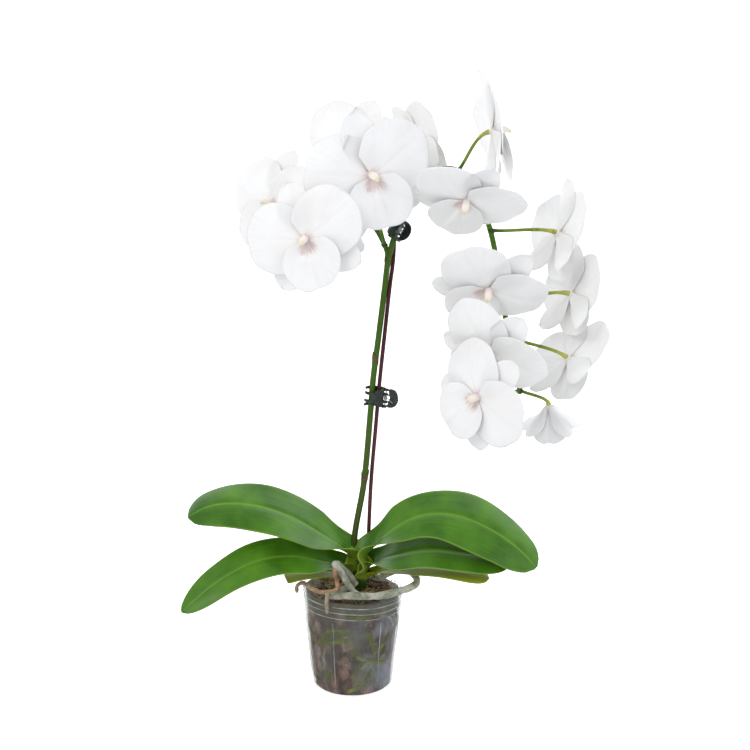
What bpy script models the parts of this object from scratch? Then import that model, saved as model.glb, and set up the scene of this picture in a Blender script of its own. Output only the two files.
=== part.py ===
"""A potted moth orchid: clear pot, bark, roots, leaves, one flower spike, blooms, stake and two claw clips.

Lengths are written in millimetres and turned into metres by MM. The origin is the middle of the pot's
underside, on the surface it stands on; +Z is up and the blooms face -Y.
"""
import math
import random

import bmesh
import bpy
from mathutils import Matrix, Vector

MM = 0.001
GAP = 0.3 * MM                # air left between pieces that touch
WELD = 0.0002 * MM            # vertices nearer than this become one

# Pot
POT_HEIGHT = 125 * MM
POT_RIM_RADIUS = 61 * MM
POT_TOP_RADIUS = 59.4 * MM    # wall just under the rim
POT_FOOT_RADIUS = 48 * MM
POT_FOOT_ROUND = 4 * MM
POT_WALL = 1.1 * MM
POT_SIDES = 30
RING_HEIGHTS = (113.5 * MM, 106.5 * MM, 99.5 * MM)
RING_PROUD = 0.7 * MM
DRAIN_COUNT = 6
DRAIN_RADIUS = 4 * MM
DRAIN_CIRCLE = 32 * MM

# Growing medium
MEDIUM_TOP = 116 * MM
CHIP_COUNT = 10

# Crown, the short leafy stem
CROWN_X = 8 * MM
CROWN_BOTTOM = 108 * MM
CROWN_TOP = 171 * MM
CROWN_WIDTH = 24 * MM
CROWN_DEPTH = 19 * MM

# Flower spike and stake
STEM_RADIUS = 3.8 * MM
STEM_TIP_RADIUS = 3.0 * MM
BRANCH_RADIUS = 2.9 * MM
BRANCH_TIP_RADIUS = 2.3 * MM
PEDICEL_RADIUS = 2.0 * MM
PEDICEL_TIP_RADIUS = 2.2 * MM
NODE_RING_PROUD = 0.5 * MM
STAKE_RADIUS = 2.4 * MM

# Bloom, at size 1
PETAL_CENTRE = 27 * MM        # the petal's outline is a circle of PETAL_RADIUS about a point this far out
PETAL_RADIUS = 34.5 * MM
PETAL_RAISE = 20              # degrees the petals' axes point above level
PETAL_SPREAD = 90             # degrees from the petal's axis to either end of its fan
PETAL_THICK = 1.0 * MM
OVERLAP = 1.6 * MM            # one petal's upper edge lies this far in front of the middle, one behind
SEPAL_LENGTH = 57 * MM
SEPAL_HALF_WIDTH = 18 * MM
SEPAL_ANGLES = (90, 222, 318)
LIP_CENTRE = 23 * MM
LIP_RADIUS = 26 * MM
LIP_SPREAD = 82
LIP_WIDEN = 1.16
LIP_FORWARD = 0.42            # how far the lip comes forward for each unit it reaches down
CORE_RADIUS = 5.2 * MM
CORE_DEPTH = 4.0 * MM
COLUMN_RADIUS = 3.6 * MM
COLUMN_LENGTH = 13 * MM
FAN_START = 2.6 * MM

# Claw clip
CLIP_LOOP_HALF_LENGTH = 10.8 * MM
CLIP_LOOP_HALF_WIDTH = 8.2 * MM
CLIP_FINGER_RADIUS = 2.0 * MM
CLIP_TIP_RADIUS = 1.2 * MM
CLIP_FINGER_START = 3         # degrees round the loop where a finger leaves its barrel
CLIP_FINGER_TURN = 204        # degrees of the loop that a finger covers
CLIP_BARREL_RADIUS = 2.4 * MM
CLIP_BARREL_LENGTH = 3.0 * MM
CLIP_FIXED_BARREL = 10.0 * MM  # distance of the fixed jaw's barrels from the middle, along the hinge
CLIP_MOVING_BARREL = 4.5 * MM
CLIP_PIN_RADIUS = 0.9 * MM
CLIP_PIN_HALF_LENGTH = 11.2 * MM
CLIP_PIN_CLEARANCE = 0.1 * MM # all round the pin, in the moving jaw's barrels
CLIP_PAD_CENTRE = 5.8 * MM    # from the hinge, along the pad
CLIP_PAD_RADIUS = 10.3 * MM
CLIP_PAD_TURN = 212           # degrees of the disc that the pad keeps
CLIP_PAD_THICK = 1.4 * MM
CLIP_PAD_ANGLE = 28           # degrees each pad stands away from the clip's middle plane
CLIP_PAD_CLEARANCE = 3.4 * MM # each pad is cut back this far from the hinge
CLIP_ARM_RADIUS = 1.1 * MM
CLIP_ARM_LENGTH = 6.0 * MM
CLIP_ARM_INWARDS = 0.25        # each arm comes this share of its height nearer to the middle
CLIP_SCALLOPS = 8
CLIP_SCALLOP_DEPTH = 1.0 * MM
SPRING_RADIUS = 1.75 * MM
SPRING_WIRE_RADIUS = 0.35 * MM
SPRING_LENGTH = 4.0 * MM
SPRING_TURNS = 3

for old in list(bpy.data.objects):
    bpy.data.objects.remove(old, do_unlink=True)
parts = bpy.data.collections.new("potted_orchid")
cutters = bpy.data.collections.new("cutters")
bpy.context.scene.collection.children.link(parts)
bpy.context.scene.collection.children.link(cutters)


# ------------------------------------------------------------------ helpers

def at(x, y, z):
    """A point from millimetres."""
    return Vector((x, y, z)) * MM


def paint(name, colour, roughness, metallic=0.0, transmission=0.0):
    """A plain Principled material; colour is linear RGB."""
    material = bpy.data.materials.new(name)
    material.use_nodes = True
    shader = material.node_tree.nodes["Principled BSDF"]
    shader.inputs["Base Color"].default_value = (*colour, 1.0)
    shader.inputs["Roughness"].default_value = roughness
    shader.inputs["Metallic"].default_value = metallic
    shader.inputs["Transmission Weight"].default_value = transmission
    material.diffuse_color = (*colour, 1.0)
    return material


POT_PLASTIC = paint("pot_plastic", (0.35, 0.33, 0.32), 0.25, transmission=0.5)
BARK = paint("bark", (0.10, 0.055, 0.035), 0.9)
ROOT = paint("root", (0.42, 0.43, 0.34), 0.7)
CROWN_GREEN = paint("crown_green", (0.09, 0.17, 0.03), 0.5)
LEAF_GREEN = paint("leaf_green", (0.045, 0.14, 0.02), 0.4)
STEM_GREEN = paint("stem_green", (0.08, 0.14, 0.02), 0.5)
STAKE_MAROON = paint("stake_maroon", (0.10, 0.02, 0.02), 0.45)
CLIP_PLASTIC = paint("clip_plastic", (0.02, 0.03, 0.025), 0.35)
SPRING_STEEL = paint("spring_steel", (0.6, 0.6, 0.6), 0.3, metallic=1.0)
PETAL_WHITE = paint("petal_white", (0.86, 0.85, 0.84), 0.5)


def add_object(name, mesh, material, collection=parts):
    obj = bpy.data.objects.new(name, mesh)
    obj.data.materials.append(material)
    collection.objects.link(obj)
    return obj


def freeze(obj):
    """Turn an object with modifiers, or a curve, into a plain welded mesh in the same place."""
    depsgraph = bpy.context.evaluated_depsgraph_get()
    depsgraph.update()
    mesh = bpy.data.meshes.new_from_object(obj.evaluated_get(depsgraph))
    bm = bmesh.new()
    bm.from_mesh(mesh)
    bmesh.ops.remove_doubles(bm, verts=bm.verts, dist=WELD)
    bmesh.ops.recalc_face_normals(bm, faces=bm.faces)
    bm.to_mesh(mesh)
    bm.free()
    name = obj.name
    place = obj.matrix_world.copy()
    material = obj.data.materials[0]
    bpy.data.objects.remove(obj, do_unlink=True)
    mesh.materials.clear()
    solid = add_object(name, mesh, material)
    solid.matrix_world = place
    return solid


def fuse(name, pieces, solver="EXACT"):
    """Join the pieces into one body by a Boolean union on a collection of all but the first."""
    base = pieces[0]
    repeats = bpy.data.collections.new(name + "_repeats")
    bpy.context.scene.collection.children.link(repeats)
    for piece in pieces[1:]:
        repeats.objects.link(piece)
    join = base.modifiers.new("join", "BOOLEAN")
    join.operation = "UNION"
    join.operand_type = "COLLECTION"
    join.collection = repeats
    join.solver = solver
    solid = freeze(base)
    for piece in list(repeats.objects):
        bpy.data.objects.remove(piece, do_unlink=True)
    bpy.data.collections.remove(repeats)
    solid.name = name
    return solid


def cut(solid, cutter, solver="EXACT"):
    """Take the cutter's shape out of the solid; the cutter stays, hidden, in its own collection."""
    for owner in list(cutter.users_collection):
        owner.objects.unlink(cutter)
    cutters.objects.link(cutter)
    cutter.hide_render = True
    cutter.display_type = "WIRE"
    bite = solid.modifiers.new("cut_" + cutter.name, "BOOLEAN")
    bite.operation = "DIFFERENCE"
    bite.object = cutter
    bite.solver = solver


def through(points, count):
    """Evenly spaced points on a smooth curve through the given ones."""
    points = [Vector(p) for p in points]
    spans = [(b - a).length for a, b in zip(points, points[1:])]
    slopes = []
    for i in range(len(points)):
        before = max(i - 1, 0)
        after = min(i + 1, len(points) - 1)
        slopes.append((points[after] - points[before]) / sum(spans[before:after]))
    fine = []
    for i, span in enumerate(spans):
        for step in range(24):
            t = step / 24
            a, b = points[i], points[i + 1]
            fine.append(a * (1 + 2 * t) * (1 - t) ** 2 + b * t * t * (3 - 2 * t)
                        + slopes[i] * span * t * (1 - t) ** 2 - slopes[i + 1] * span * t * t * (1 - t))
    fine.append(points[-1])
    lengths = [0.0]
    for a, b in zip(fine, fine[1:]):
        lengths.append(lengths[-1] + (b - a).length)
    even = []
    j = 0
    for k in range(count):
        want = lengths[-1] * k / (count - 1)
        while j < len(fine) - 2 and lengths[j + 1] < want:
            j += 1
        share = (want - lengths[j]) / (lengths[j + 1] - lengths[j])
        even.append(fine[j].lerp(fine[j + 1], share))
    return even


def tube(name, points, radii, material, resolution=2):
    """A round rod along the points, with its own radius at each; a closed mesh."""
    curve = bpy.data.curves.new(name, "CURVE")
    curve.dimensions = "3D"
    curve.bevel_depth = max(radii)
    curve.bevel_resolution = resolution
    curve.use_fill_caps = True
    spline = curve.splines.new("POLY")
    spline.points.add(len(points) - 1)
    for knot, point, radius in zip(spline.points, points, radii):
        knot.co = (*point, 1.0)
        knot.radius = radius / curve.bevel_depth
    return freeze(add_object(name, curve, material))


def taper(start, end, count):
    """Radii that go evenly from start to end."""
    return [start + (end - start) * i / (count - 1) for i in range(count)]


def ball(name, centre, size, material, segments=6, rings=3):
    """An ellipsoid with the given half sizes."""
    bm = bmesh.new()
    shape = Matrix.Translation(centre) @ Matrix.Diagonal((*size, 1.0))
    bmesh.ops.create_uvsphere(bm, u_segments=segments, v_segments=rings, radius=1.0, matrix=shape)
    mesh = bpy.data.meshes.new(name)
    bm.to_mesh(mesh)
    bm.free()
    return add_object(name, mesh, material)


def cylinder(name, start, end, radius, material, sides=12):
    """A solid cylinder between two points."""
    bm = bmesh.new()
    along = end - start
    shape = Matrix.Translation((start + end) / 2) @ along.to_track_quat("Z", "Y").to_matrix().to_4x4()
    bmesh.ops.create_cone(bm, cap_ends=True, segments=sides, radius1=radius, radius2=radius,
                          depth=along.length, matrix=shape)
    mesh = bpy.data.meshes.new(name)
    bm.to_mesh(mesh)
    bm.free()
    return add_object(name, mesh, material)


def turned(name, profile, sides, material):
    """A solid turned about Z from a profile of (radius, height), from its top to its bottom."""
    bm = bmesh.new()
    knots = [bm.verts.new((radius, 0.0, height)) for radius, height in profile]
    for a, b in zip(knots, knots[1:]):
        bm.edges.new((a, b))
    mesh = bpy.data.meshes.new(name)
    bm.to_mesh(mesh)
    bm.free()
    obj = add_object(name, mesh, material)
    screw = obj.modifiers.new("turn", "SCREW")
    screw.steps = sides
    screw.render_steps = sides
    screw.use_merge_vertices = True
    screw.merge_threshold = 0.00005
    return freeze(obj)


def sheet(name, rows, columns, place, thickness, material):
    """A thin solid: a grid laid out by place(u, v), u from 0 to 1 and v from -1 to 1, then thickened."""
    bm = bmesh.new()
    bmesh.ops.create_grid(bm, x_segments=columns, y_segments=rows, size=1.0)
    for vert in bm.verts:
        vert.co = place((vert.co.y + 1) / 2, vert.co.x)
    bmesh.ops.triangulate(bm, faces=bm.faces, quad_method="SHORT_EDGE")
    mesh = bpy.data.meshes.new(name)
    bm.to_mesh(mesh)
    bm.free()
    obj = add_object(name, mesh, material)
    thick = obj.modifiers.new("thickness", "SOLIDIFY")
    thick.thickness = thickness
    thick.offset = 0.0
    return freeze(obj)


# ------------------------------------------------------------------ pot and medium

def wall_radius(height):
    """Outer radius of the pot's tapered wall."""
    share = (height - POT_FOOT_ROUND) / (POT_HEIGHT - POT_FOOT_ROUND)
    return POT_FOOT_RADIUS + (POT_TOP_RADIUS - POT_FOOT_RADIUS) * share


def build_pot():
    rim_drop = 2.2 * MM
    ring_half = 1.2 * MM
    profile = [(0.0, POT_WALL), (POT_FOOT_RADIUS - POT_FOOT_ROUND, POT_WALL),
               (wall_radius(POT_FOOT_ROUND) - POT_WALL, POT_FOOT_ROUND + 1 * MM),
               (POT_TOP_RADIUS - POT_WALL, POT_HEIGHT),
               (POT_RIM_RADIUS - 0.5 * MM, POT_HEIGHT),
               (POT_RIM_RADIUS, POT_HEIGHT - 0.8 * MM),
               (POT_RIM_RADIUS - 0.3 * MM, POT_HEIGHT - rim_drop),
               (wall_radius(POT_HEIGHT - rim_drop - 0.8 * MM), POT_HEIGHT - rim_drop - 0.8 * MM)]
    for height in RING_HEIGHTS:
        profile.append((wall_radius(height + ring_half), height + ring_half))
        profile.append((wall_radius(height) + RING_PROUD, height))
        profile.append((wall_radius(height - ring_half), height - ring_half))
    foot_edge = POT_FOOT_ROUND * 0.3
    profile += [(POT_FOOT_RADIUS, POT_FOOT_ROUND),
                (POT_FOOT_RADIUS - foot_edge, foot_edge),
                (POT_FOOT_RADIUS - POT_FOOT_ROUND, 0.0), (0.0, 0.0)]
    pot = turned("pot", profile, POT_SIDES, POT_PLASTIC)
    for i in range(DRAIN_COUNT):
        angle = 2 * math.pi * (i + 0.5) / DRAIN_COUNT
        middle = Vector((math.cos(angle), math.sin(angle), 0.0)) * DRAIN_CIRCLE
        hole = cylinder("drain_%d" % i, middle - at(0, 0, 2), middle + at(0, 0, 4), DRAIN_RADIUS,
                        POT_PLASTIC, sides=8)
        cut(pot, hole)
    return freeze(pot)


def build_medium(stake_path):
    rng = random.Random(4)
    inner = POT_WALL + GAP
    profile = [(0.0, MEDIUM_TOP + 2 * MM), (22 * MM, MEDIUM_TOP), (42 * MM, MEDIUM_TOP - 1 * MM),
               (wall_radius(MEDIUM_TOP - 4 * MM) - inner, MEDIUM_TOP - 4 * MM),
               (wall_radius(POT_FOOT_ROUND + 2 * MM) - inner, POT_FOOT_ROUND + 2 * MM),
               (POT_FOOT_RADIUS - POT_FOOT_ROUND - inner, POT_WALL + GAP), (0.0, POT_WALL + GAP)]
    pieces = [turned("growing_medium", profile, POT_SIDES, BARK)]
    golden = math.pi * (3 - math.sqrt(5))
    for i in range(CHIP_COUNT):
        radius = 47 * MM * math.sqrt((i + 1.5) / (CHIP_COUNT + 1))
        angle = i * golden
        bm = bmesh.new()
        size = Matrix.Diagonal((rng.uniform(12, 19) * MM, rng.uniform(8, 12) * MM, 6 * MM, 1.0))
        turn = Matrix.Rotation(rng.uniform(0, math.pi), 4, "Z")
        turn = turn @ Matrix.Rotation(rng.uniform(-0.3, 0.3), 4, "X")
        middle = Vector((radius * math.cos(angle), radius * math.sin(angle), MEDIUM_TOP - 1.5 * MM))
        bmesh.ops.create_cube(bm, size=1.0, matrix=Matrix.Translation(middle) @ turn @ size)
        mesh = bpy.data.meshes.new("chip")
        bm.to_mesh(mesh)
        bm.free()
        pieces.append(add_object("chip", mesh, BARK))
    medium = fuse("growing_medium", pieces)
    crown_hole = ball("crown_hole", Vector((CROWN_X, 0, CROWN_BOTTOM + 16 * MM)),
                      (CROWN_WIDTH / 2 + 1 * MM, CROWN_DEPTH / 2 + 1 * MM, 22 * MM), BARK,
                      segments=10, rings=6)
    cut(medium, crown_hole)
    hole_path = [stake_path[0] - at(0, 0, 2)] + stake_path[1:]
    stake_hole = tube("stake_hole", hole_path, [STAKE_RADIUS + GAP] * len(hole_path), BARK)
    cut(medium, stake_hole)
    return freeze(medium)


# ------------------------------------------------------------------ crown, leaves and roots

CROWN_PROFILE = ((0.00, 0.30), (0.12, 0.62), (0.35, 0.92), (0.60, 1.00), (0.82, 0.78), (1.00, 0.34))


def build_crown(spike_path):
    """Overlapping leaf sheaths read as one flattened, tapering body, lofted through ellipses."""
    rows = len(CROWN_PROFILE) - 1
    bm = bmesh.new()
    sides = 10
    rings = []
    for share, width in CROWN_PROFILE:
        height = CROWN_BOTTOM + (CROWN_TOP - CROWN_BOTTOM) * share
        ring = []
        for k in range(sides):
            angle = 2 * math.pi * k / sides
            ring.append(bm.verts.new((CROWN_X + CROWN_WIDTH / 2 * width * math.cos(angle),
                                      CROWN_DEPTH / 2 * width * math.sin(angle), height)))
        rings.append(ring)
    for i in range(rows):
        for k in range(sides):
            after = (k + 1) % sides
            bm.faces.new((rings[i][k], rings[i][after], rings[i + 1][after], rings[i + 1][k]))
    bm.faces.new(reversed(rings[0]))
    bm.faces.new(rings[-1])
    mesh = bpy.data.meshes.new("crown")
    bm.to_mesh(mesh)
    bm.free()
    crown = add_object("crown", mesh, CROWN_GREEN)
    start = spike_path[0] + (spike_path[0] - spike_path[1]).normalized() * 2 * MM
    socket = tube("spike_socket", [start] + spike_path[1:5], [STEM_RADIUS + GAP] * 5, CROWN_GREEN)
    cut(crown, socket)
    return freeze(crown)


# name, midrib from base to tip, half width, roll towards the viewer in degrees, droop of the edges
LEAVES = (
    ("leaf_upper_left", ((-3.5, 1, 168), (-36, -3, 192), (-70, -7, 210), (-105, -11, 222), (-140, -16, 227),
                         (-168, -20, 224), (-191, -24, 213)), 38, 30, 0.10),
    ("leaf_lower_left", ((-6.5, -3, 152), (-36, -14, 164), (-66, -24, 169), (-95, -36, 168),
                         (-124, -48, 161), (-156, -61, 145), (-188, -76, 119)), 24, 34, 0.05),
    ("leaf_upper_right", ((18.5, 0, 166), (47, -5, 193), (75, -8, 208), (104, -12, 213), (134, -18, 209),
                          (172, -26, 192), (198, -32, 173), (214, -37, 156)), 41, 32, 0.12),
    ("leaf_lower_right", ((21.5, -4, 146), (52, -16, 158), (90, -25, 166), (130, -30, 163), (166, -33, 158),
                          (194, -34, 150)), 33, 16, 0.05),
    ("leaf_under_right", ((19.5, -8, 132), (52, -22, 141), (88, -28, 146), (124, -34, 147), (160, -38, 143)),
     19, 12, 0.05),
    ("leaf_small_left", ((-5.5, -5, 136), (-24, -13, 145), (-48, -21, 149), (-76, -27, 149)), 14, 12, 0.05),
)
LEAF_THICK = 2.0 * MM


def leaf_width(u):
    """Half width along the leaf, as a share of the widest: a narrow sheath, a long blade, a blunt tip."""
    sheath = 0.24 + 0.76 * math.sin(math.pi / 2 * min(u / 0.45, 1.0)) ** 1.1
    tip = math.sqrt(max(1 - max((u - 0.62) / 0.38, 0.0) ** 2.4, 0.0))
    return max(sheath * tip, 0.16)


def build_leaf(name, midrib, half_width, roll, droop):
    path = through([at(*p) for p in midrib], 41)

    def place(u, v):
        i = min(round(u * 40), 40)
        along = (path[min(i + 1, 40)] - path[max(i - 1, 0)]).normalized()
        across = along.cross(Vector((0, 0, 1))).normalized()
        if across.y > 0:
            across = -across
        turn = math.radians(roll) * min(u / 0.3, 1.0)
        down = Matrix.Rotation(-turn if along.x < 0 else turn, 3, along)
        across = down @ across
        face = along.cross(across).normalized()
        if face.z < 0:
            face = -face
        reach = half_width * MM * leaf_width(u)
        channel = 0.10 * (1 - u) - droop * u
        return path[i] + across * reach * v + face * reach * channel * v * v * 2

    return sheet(name, 8, 4, place, LEAF_THICK, LEAF_GREEN)


# points, start radius, end radius
ROOTS = (
    (((4, -13.5, 128), (-5, -21, 144), (-16, -28, 157), (-20, -33, 159), (-14, -37, 154), (-9, -40, 146),
      (-3, -42, 136), (4, -44, 128), (14, -46, 124.5), (25, -45, 124)), 3.8, 3.4),
    (((-18, -31, 158), (-19, -34, 150), (-17, -37, 140), (-17, -38, 131), (-24, -40, 128), (-37, -38, 127),
      (-48, -28, 128), (-54.5, -20, 130), (-60, -15.5, 130), (-66, -11, 124), (-66, -9, 115)), 3.4, 2.6),
    (((-30, -40, 127), (-29, -47, 128), (-27.5, -53, 129.5), (-28, -58.5, 129.5), (-28.5, -60, 123),
      (-28, -58.5, 109)), 2.4, 1.9),
    (((2, -12.5, 126), (-10, -22, 124), (-22, -33, 123), (-24, -44, 125), (-14, -51, 127), (0, -56, 129),
      (14, -59.5, 130), (27, -60.5, 130.5), (40, -57, 131), (54, -50, 132), (68, -42, 134), (76, -30, 136),
      (74, -14, 139), (66, 0, 141), (52, 8, 138), (38, 8, 131), (27, 2, 127)), 3.6, 3.6),
    (((38, 8, 131), (33, 18, 125), (28, 28, 124), (22, 36, 124)), 3.4, 2.8),
)


def build_roots():
    pieces = []
    for i, (points, start, end) in enumerate(ROOTS):
        count = round(1.3 * len(points))
        path = through([at(*p) for p in points], count)
        pieces.append(tube("root_%d" % i, path, taper(start * MM, end * MM, count), ROOT,
                           resolution=1))
    return pieces


# ------------------------------------------------------------------ spike and stake

STEM_POINTS = ((6, 3, 142), (2.5, 6, 160), (3, 8, 184), (14, 6, 248), (22, 4, 336), (25, 4, 373),
               (32, 4, 428), (38, 4, 477), (42, 4, 509), (49, 3.5, 536), (55.5, 3, 553), (67.5, 3, 580),
               (84, 4, 601), (100, 4, 611), (114, 4, 613), (128, 4, 606), (146, 6, 580), (158, 8, 548),
               (166, 9, 516), (173, 10, 478), (180, 10, 436), (188, 10, 394), (198, 10, 354))
BRANCH_POINTS = ((42, 4, 509), (40, 6, 522), (33, 10, 537), (22, 13, 554), (9, 15, 574), (-8, 15, 590),
                 (-28, 12, 600), (-50, 8, 604), (-66, 4, 600))
STAKE_POINTS = ((13, 13, 24), (17, 13, 120), (19, 13, 173), (22.2, 10, 245), (28, 6, 316), (32, 4.5, 364),
                (38.6, 4, 428), (44.4, 5.5, 482), (48, 10, 509), (49.2, 10.3, 531))
NODE_HEIGHTS = (252, 392, 507)          # rings on the stem, by height
STEM_COUNT = 34
BRANCH_COUNT = 13
PEDICEL_COUNT = 4


def nearest(path, height):
    """Index of the first point of the path at or above a height."""
    for i, point in enumerate(path):
        if point.z >= height:
            return i
    return len(path) - 1


# name, centre, azimuth (0 faces -Y, 90 faces +X), elevation, roll, size, (stem or branch, share along)
BLOOMS = (
    ("bloom_01", (-47, -76, 536), -12, -4, 19, 1.12, ("branch", 0.62)),
    ("bloom_02", (23, -50, 604), 18, -8, 19, 1.22, ("branch", 0.12)),
    ("bloom_03", (-89, -6, 574), -39, 12, -13, 1.12, ("branch", 1.00)),
    ("bloom_04", (1, 5, 640), -13, 12, -24, 0.99, ("branch", 0.55)),
    ("bloom_05", (77, 48, 641), 119, 15, -28, 1.03, ("stem", 0.595)),
    ("bloom_06", (-26, 62, 548), -150, -14, 0, 0.86, ("branch", 0.72)),
    ("bloom_07", (163, 22, 656), 92, 8, -2, 1.22, ("stem", 0.655)),
    ("bloom_08", (127, -50, 578), -18, -56, -38, 1.06, ("stem", 0.700)),
    ("bloom_09", (240, 18, 540), 109, -18, -2, 1.10, ("stem", 0.755)),
    ("bloom_10", (152, -48, 481), -6, -45, -44, 1.11, ("stem", 0.810)),
    ("bloom_11", (256, 14, 470), 109, -14, -7, 1.03, ("stem", 0.858)),
    ("bloom_12", (154, -62, 414), -34, -30, -50, 1.07, ("stem", 0.900)),
    ("bloom_13", (253, 6, 395), 116, -36, -20, 1.07, ("stem", 0.915)),
    ("bloom_14", (139, -87, 366), -44, 0, -50, 1.06, ("stem", 1.000)),
    ("bloom_15", (231, 4, 339), 150, -66, -10, 0.88, ("stem", 1.00)),
)
FOLDED = {"bloom_15": 45}      # degrees that the petals of a young bloom still stand forwards


def bloom_matrix(centre, azimuth, elevation, roll):
    """Bloom space has +Z facing out of the bloom and +Y up through its top sepal."""
    a, e = math.radians(azimuth), math.radians(elevation)
    facing = Vector((math.sin(a) * math.cos(e), -math.cos(a) * math.cos(e), math.sin(e)))
    right = Vector((0, 0, 1)).cross(facing).normalized()
    up = facing.cross(right)
    turn = Matrix((right, up, facing)).transposed().to_4x4()
    return Matrix.Translation(at(*centre)) @ turn @ Matrix.Rotation(math.radians(roll), 4, "Z")


def build_spike():
    stem_path = through([at(*p) for p in STEM_POINTS], STEM_COUNT)
    branch_path = through([at(*p) for p in BRANCH_POINTS], BRANCH_COUNT)
    stem_radii = taper(STEM_RADIUS, STEM_TIP_RADIUS, STEM_COUNT)
    pieces = [tube("stem", stem_path, stem_radii, STEM_GREEN)]
    branch_radii = taper(BRANCH_RADIUS, BRANCH_TIP_RADIUS, BRANCH_COUNT)
    pieces.append(tube("branch", branch_path, branch_radii, STEM_GREEN))
    for height in NODE_HEIGHTS:
        i = nearest(stem_path, height * MM)
        along = (stem_path[i + 1] - stem_path[i - 1]).normalized()
        radius = stem_radii[i] + NODE_RING_PROUD
        pieces.append(cylinder("node_ring", stem_path[i] - along * 2 * MM, stem_path[i] + along * 2 * MM,
                               radius, STEM_GREEN, sides=10))
    for name, centre, azimuth, elevation, roll, size, (source, share) in BLOOMS:
        path = stem_path if source == "stem" else branch_path
        start = path[round(share * (len(path) - 1))]
        place = bloom_matrix(centre, azimuth, elevation, roll)
        behind = (CORE_DEPTH + 1.0 * MM) * size + 3 * GAP
        facing = place.to_3x3() @ Vector((0, 0, 1))
        end = place.translation - facing * behind
        reach = (end - start).length
        first = start + (end - start) * 0.3 - Vector((0, 0, 0.02 * reach))
        last = end - facing * reach * 0.3
        path = []
        for k in range(PEDICEL_COUNT):
            t = k / (PEDICEL_COUNT - 1)
            path.append(start * (1 - t) ** 3 + first * 3 * t * (1 - t) ** 2 + last * 3 * t * t * (1 - t)
                        + end * t ** 3)
        radii = taper(PEDICEL_RADIUS, PEDICEL_TIP_RADIUS, PEDICEL_COUNT)
        pieces.append(tube(name + "_pedicel", path, radii, STEM_GREEN, resolution=1))
    return fuse("flower_spike", pieces), stem_path


# ------------------------------------------------------------------ blooms

def fan_reach(centre, radius, angle):
    """How far a ray from the claw goes before it meets a circle whose centre lies ahead of the claw."""
    return centre * math.cos(angle) + math.sqrt(radius ** 2 - (centre * math.sin(angle)) ** 2)


def petal_place(side, size, rng):
    """A broad rounded petal: a fan of rays from the claw out to an off-centre circle."""
    lift, reflex = rng.uniform(8, 12), rng.uniform(12, 17)
    wave, phase = rng.uniform(0.6, 1.6), rng.uniform(0, 6)

    def place(u, v):
        fan = math.radians(PETAL_SPREAD) * v
        angle = fan + math.radians(PETAL_RAISE)
        reach = fan_reach(PETAL_CENTRE, PETAL_RADIUS, fan)
        r = FAN_START + (reach - FAN_START) * u
        share = r / (PETAL_CENTRE + PETAL_RADIUS)
        over = OVERLAP * side * min(max((v - 0.1) / 0.5, 0.0), 1.0)
        z = lift * share - reflex * share ** 2 + wave * share ** 2 * math.sin(2.4 * angle + phase)
        return Vector((side * r * math.cos(angle), r * math.sin(angle), z * MM + over)) * size

    return place


def sepal_place(direction, size, rng):
    """A narrower, pointed sepal behind the petals."""
    bend, cup = rng.uniform(3, 8), rng.uniform(2, 5)
    axis = math.radians(direction)

    def place(u, v):
        along = 2 * MM + (SEPAL_LENGTH - 2 * MM) * u
        width = SEPAL_HALF_WIDTH * (0.16 + 0.84 * math.sin(math.pi * min(u * 1.02, 1.0) ** 0.8) ** 0.9)
        across = width * v
        z = -2.2 - bend * u * u + cup * v * v * math.sin(math.pi * u)
        return Vector((along * math.cos(axis) - across * math.sin(axis),
                       along * math.sin(axis) + across * math.cos(axis), z * MM)) * size

    return place


def lip_place(size, rng):
    """The big petal-like lip: a wide fan that comes forward and rolls down, with a fold along its middle."""
    roll_down = rng.uniform(9, 14)

    def place(u, v):
        fan = math.radians(LIP_SPREAD) * v
        reach = fan_reach(LIP_CENTRE, LIP_RADIUS, fan)
        r = FAN_START + (reach - FAN_START) * u
        share = r / (LIP_CENTRE + LIP_RADIUS)
        z = 0.1 + LIP_FORWARD * r / MM - roll_down * share ** 2 + 2.0 * share * (1 - abs(v)) ** 2
        return Vector((LIP_WIDEN * r * math.sin(fan), -r * math.cos(fan), z * MM)) * size

    return place


def folded(place, degrees):
    """The same sheet swung forwards about the bloom's middle, as on a bloom that isn't fully open."""
    out, forwards = math.cos(math.radians(degrees)), math.sin(math.radians(degrees))

    def swung(u, v):
        flat = place(u, v)
        beyond = max(math.hypot(flat.x, flat.y) - CORE_RADIUS, 0.0)
        return Vector((flat.x * out, flat.y * out, flat.z + beyond * forwards))

    return swung


def build_bloom(number, name, centre, azimuth, elevation, roll, size):
    rng = random.Random(number)
    fold = FOLDED.get(name, 0)
    pieces = [ball("core", Vector((0, 0, -1 * MM)) * size,
                   (CORE_RADIUS * size, CORE_RADIUS * size, CORE_DEPTH * size), PETAL_WHITE)]
    for side in (-1, 1):
        pieces.append(sheet("petal", 2, 5, folded(petal_place(side, size, rng), fold), PETAL_THICK,
                            PETAL_WHITE))
    for direction in SEPAL_ANGLES:
        pieces.append(sheet("sepal", 2, 2, folded(sepal_place(direction, size, rng), fold), PETAL_THICK,
                            PETAL_WHITE))
    pieces.append(sheet("lip", 2, 4, folded(lip_place(size, rng), fold), PETAL_THICK, PETAL_WHITE))
    column = ball("column", Vector((0, 1 * MM, COLUMN_LENGTH / 2)) * size,
                  (COLUMN_RADIUS * size, COLUMN_RADIUS * size, COLUMN_LENGTH * 0.6 * size), PETAL_WHITE)
    pieces.append(column)
    bloom = fuse(name, pieces)
    bloom.matrix_world = bloom_matrix(centre, azimuth, elevation, roll)
    return bloom


# ------------------------------------------------------------------ claw clips

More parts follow.
